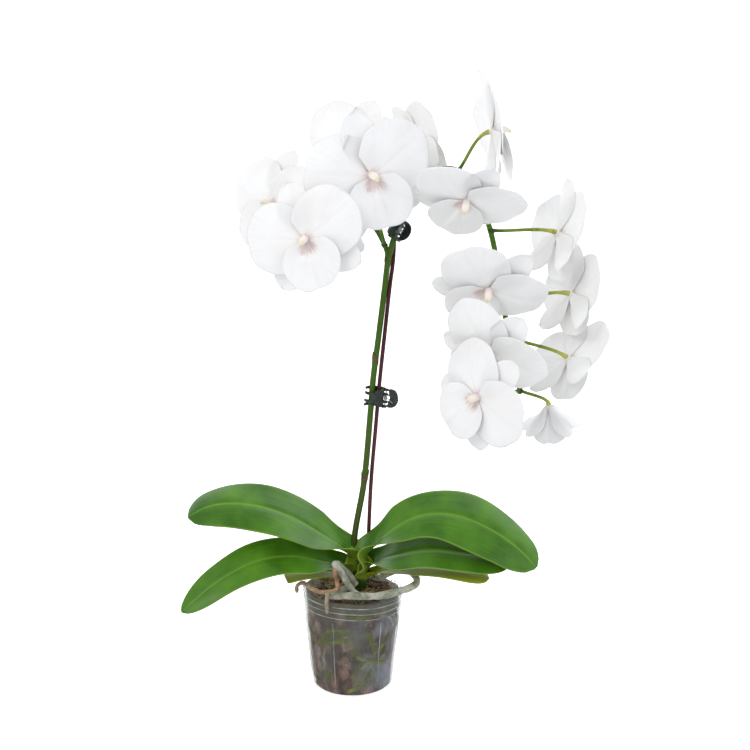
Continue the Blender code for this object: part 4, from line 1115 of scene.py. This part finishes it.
# name, centre, azimuth (0 faces -Y, 90 faces +X), elevation, roll, size, (stem or branch, share along)
BLOOMS = (
    ("bloom_01", (-47, -76, 536), -12, -4, 19, 1.12, ("branch", 0.62)),
    ("bloom_02", (23, -50, 604), 18, -8, 19, 1.22, ("branch", 0.12)),
    ("bloom_03", (-89, -6, 574), -39, 12, -13, 1.12, ("branch", 1.00)),
    ("bloom_04", (1, 5, 640), -13, 12, -24, 0.99, ("branch", 0.55)),
    ("bloom_05", (77, 48, 641), 119, 15, -28, 1.03, ("stem", 0.595)),
    ("bloom_06", (-26, 62, 548), -150, -14, 0, 0.86, ("branch", 0.72)),
    ("bloom_07", (163, 22, 656), 92, 8, -2, 1.22, ("stem", 0.655)),
    ("bloom_08", (127, -50, 578), -18, -56, -38, 1.06, ("stem", 0.700)),
    ("bloom_09", (240, 18, 540), 109, -18, -2, 1.10, ("stem", 0.755)),
    ("bloom_10", (152, -48, 481), -6, -45, -44, 1.11, ("stem", 0.810)),
    ("bloom_11", (256, 14, 470), 109, -14, -7, 1.03, ("stem", 0.858)),
    ("bloom_12", (154, -62, 414), -34, -30, -50, 1.07, ("stem", 0.900)),
    ("bloom_13", (253, 6, 395), 116, -36, -20, 1.07, ("stem", 0.915)),
    ("bloom_14", (139, -87, 366), -44, 0, -50, 1.06, ("stem", 1.000)),
    ("bloom_15", (231, 4, 339), 150, -66, -10, 0.88, ("stem", 1.00)),
)
FOLDED = {"bloom_15": 45}      # degrees that the petals of a young bloom still stand forwards
# share of their size that the outermost blooms keep, so that their waved petals don't reach too far
TRIM = {"bloom_05": 0.925, "bloom_07": 0.995, "bloom_13": 0.94}
BLOOM_BACK = 4.6 * MM


def bloom_matrix(centre, azimuth, elevation, roll):
    """Bloom space has +Z facing out of the bloom and +Y up through its top sepal."""
    a, e = math.radians(azimuth), math.radians(elevation)
    facing = Vector((math.sin(a) * math.cos(e), -math.cos(a) * math.cos(e), math.sin(e)))
    right = Vector((0, 0, 1)).cross(facing).normalized()
    turn = Matrix((right, facing.cross(right), facing)).transposed().to_4x4()
    return Matrix.Translation(at(*centre)) @ turn @ Matrix.Rotation(math.radians(roll), 4, "Z")


def bract(path, i, radius, length, turn, tone):
    """A papery scale that clasps the stem at point i and narrows to a point."""
    along = (path[i + 1] - path[i - 1]).normalized()
    side = Matrix.Rotation(turn, 3, along) @ along.orthogonal().normalized()
    base, along, side, other = (np.array(v) for v in (path[i], along, side, along.cross(side)))

    def place(u, v):
        angle = (2.6 * (1 - u ** 1.4) + 0.05) * v
        away = (radius + (0.25 + 0.45 * np.sin(math.pi * np.minimum(u * 0.9, 1.0))) * MM)[..., None]
        lift = (u * length - 1.5 * MM)[..., None]
        return (base + away * (np.cos(angle)[..., None] * side + np.sin(angle)[..., None] * other)
                + lift * along)

    scale = Shape()
    scale.blade(place, BRACT_GRID, lambda u, v: 0.22 * MM, lambda u, v: tone, along)
    return outward(scale.mesh("bract", [STEM]))


def pedicel(start, place, size):
    """A flower stalk from the stem to the back of a bloom, sagging a little and flaring at both ends."""
    facing = place.to_3x3() @ Vector((0, 0, 1))
    end = place.translation - facing * BLOOM_BACK * size * 0.75
    reach = (end - start).length
    first = start + (end - start) * 0.3 - Vector((0, 0, 0.02 * reach))
    last = end - facing * reach * 0.3
    curve, thick, tint = [], [], []
    for k in range(PEDICEL_STEPS + 1):
        t = k / PEDICEL_STEPS
        curve.append(start * (1 - t) ** 3 + first * 3 * t * (1 - t) ** 2
                     + last * 3 * t * t * (1 - t) + end * t ** 3)
        flare = 0.6 * math.exp(-(t / 0.06) ** 2) + 1.1 * float(smoothstep(0.78, 1.0, t))
        thick.append((PEDICEL_RADIUS + flare) * MM)
        tint.append(0.30 + 0.42 * float(smoothstep(0.0, 0.25, t)) + 0.26 * float(smoothstep(0.5, 1.0, t)))
    return curve, thick, tint


def build_spike():
    """The stem with its swollen nodes, its branch, a stalk for each bloom and a scale at each joint."""
    stem = through([at(*p) for p in STEM_POINTS], STEM_STEPS)
    branch = through([at(*p) for p in BRANCH_POINTS], BRANCH_STEPS)
    radii, tones = [], []
    for i, point in enumerate(stem):
        share = i / (STEM_STEPS - 1)
        swell = browned = 0.0
        if share < 0.5:
            swell = sum(0.7 * math.exp(-((point.z / MM - height) / 2.2) ** 2) for height, _ in NODES)
            browned = 0.22 * math.exp(-((point.z / MM - NODES[0][0]) / 3) ** 2)
        radii.append((STEM_RADIUS + (STEM_TIP_RADIUS - STEM_RADIUS) * share + swell) * MM)
        tones.append(0.20 + 0.45 * share - browned)
    shares = [i / (BRANCH_STEPS - 1) for i in range(BRANCH_STEPS)]
    lines = [(stem, radii, tones),
             (branch, [(BRANCH_RADIUS + (BRANCH_TIP_RADIUS - BRANCH_RADIUS) * s) * MM for s in shares],
              [0.42 + 0.2 * s for s in shares])]
    meshes = []
    for number, (_, centre, azimuth, elevation, roll, size, (source, share)) in enumerate(BLOOMS):
        path = stem if source == "stem" else branch
        root = min(max(round(share * (len(path) - 1)), 1), len(path) - 2)
        lines.append(pedicel(path[root], bloom_matrix(centre, azimuth, elevation, roll), size))
        meshes.append(bract(path, root, radii[root] if path is stem else BRANCH_RADIUS * MM, 6 * MM,
                            1.3 * number, 0.16))
    for height, turn in NODES:
        i = next(k for k, point in enumerate(stem) if point.z >= height * MM)
        meshes.append(bract(stem, i, radii[i], 11 * MM, turn, 0.05))
    meshes.append(rods("spike", lines, STEM, sides=16, lump_height=0.25 * MM, lump_size=9 * MM))
    piece("green_spike", gather("green_spike", meshes), "flower_spike")


def build_stake():
    path = through([at(*p) for p in STAKE_POINTS], STAKE_STEPS)
    tip = path[-1] + (path[-1] - path[-2]).normalized() * 1.2 * MM
    radii = [STAKE_RADIUS * MM] * STAKE_STEPS + [0.9 * MM]
    piece("coated_stake", rods("coated_stake", [(path + [tip], radii, 0.0)], STAKE, sides=20),
          "support_stake")


# ------------------------------------------------------------------ blooms, in millimetres

PETAL_CENTRE = 27.0
PETAL_RADIUS = 34.5
PETAL_RAISE = 20
PETAL_SPREAD = 90
PETAL_GRID = (26, 40)
OVERLAP = 1.6
SEPAL_LENGTH = 57.0
SEPAL_HALF_WIDTH = 18.0
SEPAL_ANGLES = (90, 222, 318)
SEPAL_GRID = (22, 12)
LIP_CENTRE = 23.0
LIP_RADIUS = 26.0
LIP_SPREAD = 82
LIP_WIDEN = 1.16
LIP_FORWARD = 0.42
LIP_GRID = (30, 44)
HUB_PROFILE = ((-4.8, 1.8), (-4.0, 3.2), (-2.0, 4.6), (0.0, 5.0), (1.6, 4.2), (2.8, 2.4))
# tone of each ring of the hub, rising towards the column; the cream and mauve it brings are partly painted
# shade deep in the throat
HUB_TONES = (0.2, 0.2, 0.3, 0.5, 0.8, 0.9)
COLUMN_RADIUS = 3.8
COLUMN_LENGTH = 15.5
FAN_START = 2.6


def fan_radius(centre, radius, angle, u, edge):
    """A share u of the way along a ray from the claw to a circle that lies ahead of it, its edge waved."""
    reach = centre * np.cos(angle) + np.sqrt(radius ** 2 - (centre * np.sin(angle)) ** 2)
    return FAN_START + (reach * edge - FAN_START) * u


def petal_place(side, rng, fine):
    """A broad rounded petal, waved at its edge and creased along its middle vein."""
    lift, reflex = rng.uniform(8, 12), rng.uniform(12, 17)
    wave, phase = rng.uniform(0.8, 2.0), rng.uniform(0, 6)
    starts = [fine.uniform(0, 6.28) for _ in range(4)]

    def place(u, v):
        fan = math.radians(PETAL_SPREAD) * v
        angle = fan + math.radians(PETAL_RAISE)
        edge = 1 + 0.018 * np.sin(5 * fan + starts[0]) + 0.010 * np.sin(11 * fan + starts[1])
        r = fan_radius(PETAL_CENTRE, PETAL_RADIUS, fan, u, edge)
        share = r / (PETAL_CENTRE + PETAL_RADIUS)
        over = OVERLAP * side * np.clip((v - 0.1) / 0.5, 0.0, 1.0)
        z = lift * share - reflex * share ** 2 + wave * share ** 2 * np.sin(2.4 * angle + phase)
        z += 0.9 * share ** 3 * np.sin(5 * fan + starts[2]) + 0.7 * share ** 6 * np.sin(14 * fan + starts[3])
        z += 1.2 * np.sin(math.pi * share) * np.cos(fan) ** 2
        z -= 1.1 * np.exp(-(fan / 0.07) ** 2) * np.sin(math.pi * np.clip(share, 0, 1)) ** 1.5
        return np.stack((side * r * np.cos(angle), r * np.sin(angle), z + over), axis=-1)

    return place


def sepal_place(direction, rng, fine):
    """A narrower pointed sepal behind the petals."""
    bend, cup = rng.uniform(3, 8), rng.uniform(2, 5)
    axis = math.radians(direction)
    start = fine.uniform(0, 6.28)

    def place(u, v):
        along = 2 + (SEPAL_LENGTH - 2) * u
        width = SEPAL_HALF_WIDTH * (0.22 + 0.78 * smoothstep(-0.05, 0.50, u))
        across = width * np.maximum(blunt(u, 0.42, 2.3), 0.04) * v
        crease = 0.6 * np.exp(-(v / 0.08) ** 2) * np.sin(math.pi * u)
        z = -2.2 - bend * u * u + cup * v * v * np.sin(math.pi * u)
        z += 0.7 * u * u * np.sin(7 * u + 2.5 * v + start) - crease
        return np.stack((along * math.cos(axis) - across * math.sin(axis),
                         along * math.sin(axis) + across * math.cos(axis), z), axis=-1)

    return place


def lip_place(rng, fine):
    """The big petal-like lip: it comes forward, rolls down, and has a fold and a keel along its middle."""
    roll_down = rng.uniform(9, 14)
    starts = [fine.uniform(0, 6.28) for _ in range(3)]

    def place(u, v):
        fan = math.radians(LIP_SPREAD) * v
        edge = 1 + 0.03 * np.sin(4 * fan + starts[0]) - 0.05 * np.exp(-(v / 0.10) ** 2)
        r = fan_radius(LIP_CENTRE, LIP_RADIUS, fan, u, edge)
        share = r / (LIP_CENTRE + LIP_RADIUS)
        aside = np.abs(v)
        z = 0.1 + LIP_FORWARD * r - roll_down * share ** 2 + 2.0 * share * (1 - aside) ** 2
        keel = smoothstep(0.20, 0.45, share) * (1 - smoothstep(0.70, 0.95, share))
        z += (1.7 * np.exp(-(v / 0.045) ** 2) - 1.0 * np.exp(-((aside - 0.14) / 0.08) ** 2)) * keel
        z -= 2.2 * np.exp(-((share - 0.22) / 0.13) ** 2) * np.exp(-((aside - 0.35) / 0.3) ** 2)
        z += 1.0 * share ** 3 * np.sin(6 * fan + starts[1]) + 0.4 * share ** 5 * np.sin(15 * fan + starts[2])
        return np.stack((LIP_WIDEN * r * np.sin(fan), -r * np.cos(fan), z), axis=-1)

    return place


def folded(place, degrees, size):
    """The same sheet swung forwards about the bloom's middle, as on a bloom that isn't fully open."""
    out, forwards = math.cos(math.radians(degrees)), math.sin(math.radians(degrees))

    def swung(u, v):
        x, y, z = np.moveaxis(place(u, v), -1, 0)
        beyond = np.maximum(np.hypot(x, y) - 5.2 / size, 0.0)
        return np.stack((x * out, y * out, z + beyond * forwards), axis=-1)

    return swung


def thin_edge(centre, edge):
    """Half thickness of a petal: thicker in the middle, thin at its edges."""
    return lambda u, v: centre + (edge - centre) * np.maximum(u, np.abs(v)) ** 3


def build_bloom(number, name, centre, azimuth, elevation, roll, size):
    """One flower: two petals over three sepals, a lip, and a column with its cap on a round hub."""
    rng = random.Random(number)
    fine = random.Random(500 + number)
    size *= TRIM.get(name, 1.0)
    shape = Shape()

    def sheet(place, grid, half_thickness, tone):
        shape.blade(folded(place, FOLDED.get(name, 0), size), grid, half_thickness, tone)

    # The tone on the petals, sepals, lip and hub marks how deep in the throat a place lies. The petal
    # material paints it cream and mauve, partly the throat's own colour and partly painted shade. On the lip
    # it peaks in the side hollows that lip_place presses in.
    for side in (-1, 1):
        sheet(petal_place(side, rng, fine), PETAL_GRID, thin_edge(0.45, 0.18),
              lambda u, v: 0.75 * smoothstep(0.28, 0.02, u))
    for direction in SEPAL_ANGLES:
        sheet(sepal_place(direction, rng, fine), SEPAL_GRID, thin_edge(0.45, 0.2),
              lambda u, v: 0.5 * smoothstep(0.25, 0.02, u))
    sheet(lip_place(rng, fine), LIP_GRID, thin_edge(0.5, 0.2),
          lambda u, v: smoothstep(0.50, 0.10, u) * (0.75 + 0.35 * np.exp(-((np.abs(v) - 0.35) / 0.22) ** 2)))
    around = spokes(20)
    shape.lathe([ring(around, radius, z) for z, radius in HUB_PROFILE], HUB_TONES)
    column, tones = [], [k / 14 for k in range(15)]
    for t in tones:
        radius = COLUMN_RADIUS * (0.80 + 0.22 * math.sin(math.pi * t)) * math.sqrt(max(1 - t ** 7, 0.03))
        column.append(ring(around, radius * 1.05, COLUMN_LENGTH * 1.05 * t, radius * 0.92,
                           y=1.0 + 0.9 * t - 3.4 * t * t))
    shape.lathe(column, tones, 1)
    cap = []
    for k in range(7):
        bulge = max(math.sin(math.pi * k / 6), 0.05)
        cap.append(ring(around, 2.0 * bulge, COLUMN_LENGTH * 0.98 - 1.7 * math.cos(math.pi * k / 6),
                        1.7 * bulge, y=-2.2))
    shape.lathe(cap, [1.0] * 7, 1)
    grown = bloom_matrix(centre, azimuth, elevation, roll) @ Matrix.Diagonal((size * MM,) * 3 + (1.0,))
    piece(name + "_flower", shape.mesh(name + "_flower", [PETAL, COLUMN], grown), name)


# ------------------------------------------------------------------ claw clips

# In a clip's own space Z is its hinge, its fingers reach towards -X and its thumb pads towards +X.
CLIPS = (("clip_lower", Matrix.Translation(at(39.5, 4.4, 349)) @ Matrix.Rotation(math.radians(6), 4, "Y")),
         ("clip_upper", Matrix.Translation(at(56.0, -5.9, 544.2)) @ Matrix.Rotation(math.radians(28), 4, "Y")
          @ Matrix.Rotation(math.radians(-4), 4, "X") @ Matrix.Rotation(math.radians(-75), 4, "Z")))
LOOP_LONG = 10.8
LOOP_WIDE = 8.2
FINGER_TURN = 204              # degrees of the loop that a finger covers
FINGER_GRID = (64, 20)
PALM_HALF_HEIGHT = 10.5
PALM_GRID = (30, 96)
FIXED_BARREL = 10.0
MOVING_BARREL = 4.5
BARREL_RADIUS = 2.4
BARREL_LENGTH = 3.0
BARREL_PROFILE = ((-0.5, 0.78), (-0.47, 0.93), (-0.40, 1.0), (0.40, 1.0), (0.47, 0.93), (0.5, 0.78))
PAD_CENTRE = 5.8
PAD_RADIUS = 10.3
PAD_HALF_TURN = math.radians(106)
PAD_ANGLE = 28
PAD_TEETH = 17
PAD_GRID = (24, 170)
BEAD_RADIUS = 1.25 * MM
# reach, height share and radius along the arm of a pad
ARM = ((0.2, 1.0, 1.2), (2.6, 0.93, 1.0), (5.5, 0.80, 0.85), (8.5, 0.66, 0.6))
PIN_RADIUS = 0.9 * MM
PIN_HALF_LENGTH = 11.3
SPRING_RADIUS = 1.75
SPRING_TURNS = 6
SPRING_STEPS = 20
SPRING_LEG = ((1.9, -1.2, 0.4), (3.2, -1.5, 0.1), (6.0, -1.5, -1.6), (10.5, -1.5, -4.4))


def around_loop(side, degrees, out=0.0):
    """A point on the loop that the fingers follow, a little outside it or inside it."""
    angle = np.radians(degrees)
    x = LOOP_LONG * (np.cos(angle) - 1) - BARREL_RADIUS + out * np.cos(angle)
    return x, side * (LOOP_WIDE + out) * np.sin(angle)


def moulded(name, place, grid, half_thickness, side):
    """A moulded sheet of a clip whose outer face looks sideways."""
    shape = Shape()
    shape.blade(place, grid, half_thickness, lambda u, v: 0.0, (0, side, 0))
    return outward(shape.mesh(name, [CLIP]))


def finger_mesh(side, height):
    """One curved finger: a flattened bar that thins towards a rounded tip."""
    def place(u, v):
        x, y = around_loop(side, 3 + FINGER_TURN * u)
        reach = (2.35 - 1.0 * u ** 2) * np.maximum(blunt(u, 0.94, 2), 0.08)
        return np.stack((x, y, height + reach * v), axis=-1) * MM

    def half(u, v):
        ridge = 0.22 * np.cos(3.5 * math.pi * v) ** 2 * (1 - v ** 2)
        oval = np.sqrt(np.maximum(1 - 0.98 * v ** 2, 0.0))
        return MM * ((1.75 - 0.75 * u) * oval * np.maximum(blunt(u, 0.94, 2), 0.1) + ridge)

    return moulded("finger", place, FINGER_GRID, half, side)


def palm_mesh(side, half_height):
    """The ribbed plate that joins a jaw's fingers near the hinge, bent like them."""
    def place(u, v):
        x, y = around_loop(side, 26 + 84 * u, 0.4)
        edge = half_height * (1 - 0.34 * smoothstep(0.35, 1.0, u) * np.abs(v)) - 0.6 * u
        return np.stack((x, y, edge * v), axis=-1) * MM

    def half(u, v):
        ribs = 0.30 * np.abs(np.sin(half_height * 0.62 * math.pi * v)) ** 0.7
        return MM * (0.55 + ribs + 0.25 * smoothstep(0.9, 0.98, np.abs(v)))

    return moulded("palm", place, PALM_GRID, half, side)


def barrel_mesh(height):
    """One knuckle of the hinge with softened rims."""
    shape = Shape()
    shape.lathe([ring(spokes(28), BARREL_RADIUS * r * MM, (height + BARREL_LENGTH * z) * MM)
                 for z, r in BARREL_PROFILE], [0.0] * len(BARREL_PROFILE))
    return outward(shape.mesh("barrel", [CLIP]))


def bead_item():
    """One bead of a pad's rim."""
    bm = bmesh.new()
    bmesh.ops.create_uvsphere(bm, u_segments=12, v_segments=8, radius=BEAD_RADIUS)
    bmesh.ops.scale(bm, vec=(1.0, 0.58, 1.0), verts=bm.verts)
    return placed("bead", settled(bm, bpy.data.meshes.new("bead")))


def pad_mesh(side, heights):
    """The thumb pad: most of a disc with a beaded rim and radial grooves, carried on arms from the hinge."""
    def place(u, v):
        angle = PAD_HALF_TURN * v
        r = (PAD_RADIUS - 0.4) * u
        dish = 0.4 * np.sin(math.pi * u) * side
        return np.stack((PAD_CENTRE + r * np.cos(angle), dish, r * np.sin(angle)), axis=-1) * MM

    def half(u, v):
        groove = np.abs(np.sin(PAD_TEETH * math.pi / 2 * (v + 1))) ** 0.6
        return MM * (0.35 + 0.32 * groove * smoothstep(0.20, 0.45, u) + 0.15 * smoothstep(0.3, 0.15, u))

    item = bead_item()
    last = PAD_HALF_TURN - PAD_HALF_TURN / PAD_TEETH
    beads = grow(bpy.data.meshes.new("none"), FAN, item=item, count=PAD_TEETH,
                 radius=(PAD_RADIUS - 0.55) * MM, first_angle=-last, last_angle=last, material=CLIP)
    bpy.data.objects.remove(item, do_unlink=True)
    beads.transform(Matrix.Translation(at(PAD_CENTRE, 0, 0)))
    meshes = [moulded("pad", place, PAD_GRID, half, side), beads]
    for height in heights:
        line = [at(x, 0.0, height * share) for x, share, _ in ARM]
        meshes.append(rods("arm", [(line, [radius * MM for *_, radius in ARM], 0.0)], CLIP))
    whole = gather("pad", meshes)
    whole.transform(Matrix.Rotation(math.radians(PAD_ANGLE * side), 4, "Z"))
    return whole


def build_clip(prefix, place):
    """A fixed jaw with the pin, a moving jaw with one leg of the spring, and the coil on the pin."""
    for label, side, distance in (("fixed_jaw", 1, FIXED_BARREL), ("moving_jaw", -1, MOVING_BARREL)):
        meshes = [pad_mesh(side, (-distance, distance)), palm_mesh(side, PALM_HALF_HEIGHT)]
        for height in (-distance, distance):
            meshes += [barrel_mesh(height), finger_mesh(side, height)]
        if side == 1:
            pin = [at(0, 0, -PIN_HALF_LENGTH), at(0, 0, PIN_HALF_LENGTH)]
            meshes.append(rods("pin", [(pin, PIN_RADIUS, 0.0)], SPRING, sides=18))
        else:
            turn = Matrix.Rotation(math.radians(-PAD_ANGLE), 3, "Z")
            leg = [turn @ at(*point) for point in SPRING_LEG]
            meshes.append(rods("leg", [(leg, 0.42 * MM, 0.0)], SPRING, sides=10))
        name = prefix + "_" + label
        whole = gather(name + "_dressed", meshes)
        whole.transform(place)
        piece(whole.name, whole, name, "root" if side == 1 else prefix + "_jaw")
    coil = []
    for k in range(SPRING_TURNS * SPRING_STEPS + 1):
        angle = TURN * k / SPRING_STEPS
        rise = 4.4 * (k / (SPRING_TURNS * SPRING_STEPS) - 0.5)
        coil.append(at(SPRING_RADIUS * math.cos(angle), SPRING_RADIUS * math.sin(angle), rise))
    wire = rods(prefix + "_coil", [(coil, 0.36 * MM, 0.0)], SPRING, sides=8)
    wire.transform(place)
    piece(prefix + "_coil", wire, prefix + "_spring")


# ------------------------------------------------------------------ floor, light and camera, in metres

FLOOR_FRONT = -3.5
FLOOR_BACK = 0.9
FLOOR_HALF_WIDTH = 4.0
WALL_BEND = 0.9
WALL_HEIGHT = 4.0
SKY_COLOUR = (0.93, 0.96, 1.0, 1.0)
SKY_STRENGTH = 0.84
# name, place, target, size, power in watts, colour
LAMPS = (("key", (-0.9, -1.3, 1.5), (0.05, 0, 0.4), 0.7, 9.5, (1.0, 0.97, 0.93)),
         ("fill", (1.6, -0.6, 0.9), (0.05, 0, 0.4), 1.2, 4, (0.86, 0.93, 1.0)),
         ("back", (0.7, 0.75, 1.5), (0.05, 0, 0.45), 0.9, 4, (0.9, 0.95, 1.0)))
CAMERA_PLACE = (0.027, -1.25, 0.575)
CAMERA_TILT = math.radians(81)
CAMERA_LENS = 52.2


def build_stage():
    """A floor that curves up into a back wall."""
    profile = [(FLOOR_FRONT, 0.0), (FLOOR_BACK, 0.0)]
    for k in range(1, 17):
        angle = math.pi / 2 * k / 16
        profile.append((FLOOR_BACK + WALL_BEND * math.sin(angle), WALL_BEND * (1 - math.cos(angle))))
    profile.append((FLOOR_BACK + WALL_BEND, WALL_HEIGHT))
    points = [(x, y, z) for y, z in profile for x in (-FLOOR_HALF_WIDTH, FLOOR_HALF_WIDTH)]
    faces = [(2 * i, 2 * i + 1, 2 * i + 3, 2 * i + 2) for i in range(len(profile) - 1)]
    mesh = bpy.data.meshes.new("backdrop")
    mesh.from_pydata(points, [], faces)
    mesh.polygons.foreach_set("use_smooth", [True] * len(faces))
    mesh.materials.append(PAPER)
    backdrop = placed("backdrop", mesh)
    backdrop.visible_diffuse = False       # bright to the eye, but it doesn't light the plant from below


def build_lights():
    """A pale sky and three square soft lights, each aimed at its target."""
    scene.world = bpy.data.worlds.new("soft_sky")
    scene.world.use_nodes = True
    sky = scene.world.node_tree.nodes["Background"]
    sky.inputs["Color"].default_value = SKY_COLOUR
    sky.inputs["Strength"].default_value = SKY_STRENGTH
    for name, place, target, size, power, colour in LAMPS:
        data = bpy.data.lights.new(name, "AREA")
        data.size, data.energy, data.color = size, power, colour
        lamp = placed(name, data)
        lamp.location = place
        lamp.rotation_mode = "QUATERNION"
        lamp.rotation_quaternion = (Vector(target) - Vector(place)).to_track_quat("-Z", "Y")


def build_camera():
    data = bpy.data.cameras.new("camera")
    data.lens, data.sensor_width = CAMERA_LENS, 36.0
    data.clip_start, data.clip_end = 0.01, 50.0
    camera = placed("camera", data)
    camera.location = CAMERA_PLACE
    camera.rotation_euler = (CAMERA_TILT, 0, 0)
    scene.camera = camera


# ------------------------------------------------------------------ the whole plant

build_pot()
build_medium()
build_roots()
build_wall_roots()
build_crown()
for number, leaf in enumerate(LEAVES):
    build_leaf(number, *leaf)
build_spike()
build_stake()
for number, bloom in enumerate(BLOOMS):
    build_bloom(number, *bloom[:-1])
for prefix, place in CLIPS:
    build_clip(prefix, place)
build_stage()
build_lights()
build_camera()
scene.view_settings.view_transform = "Standard"
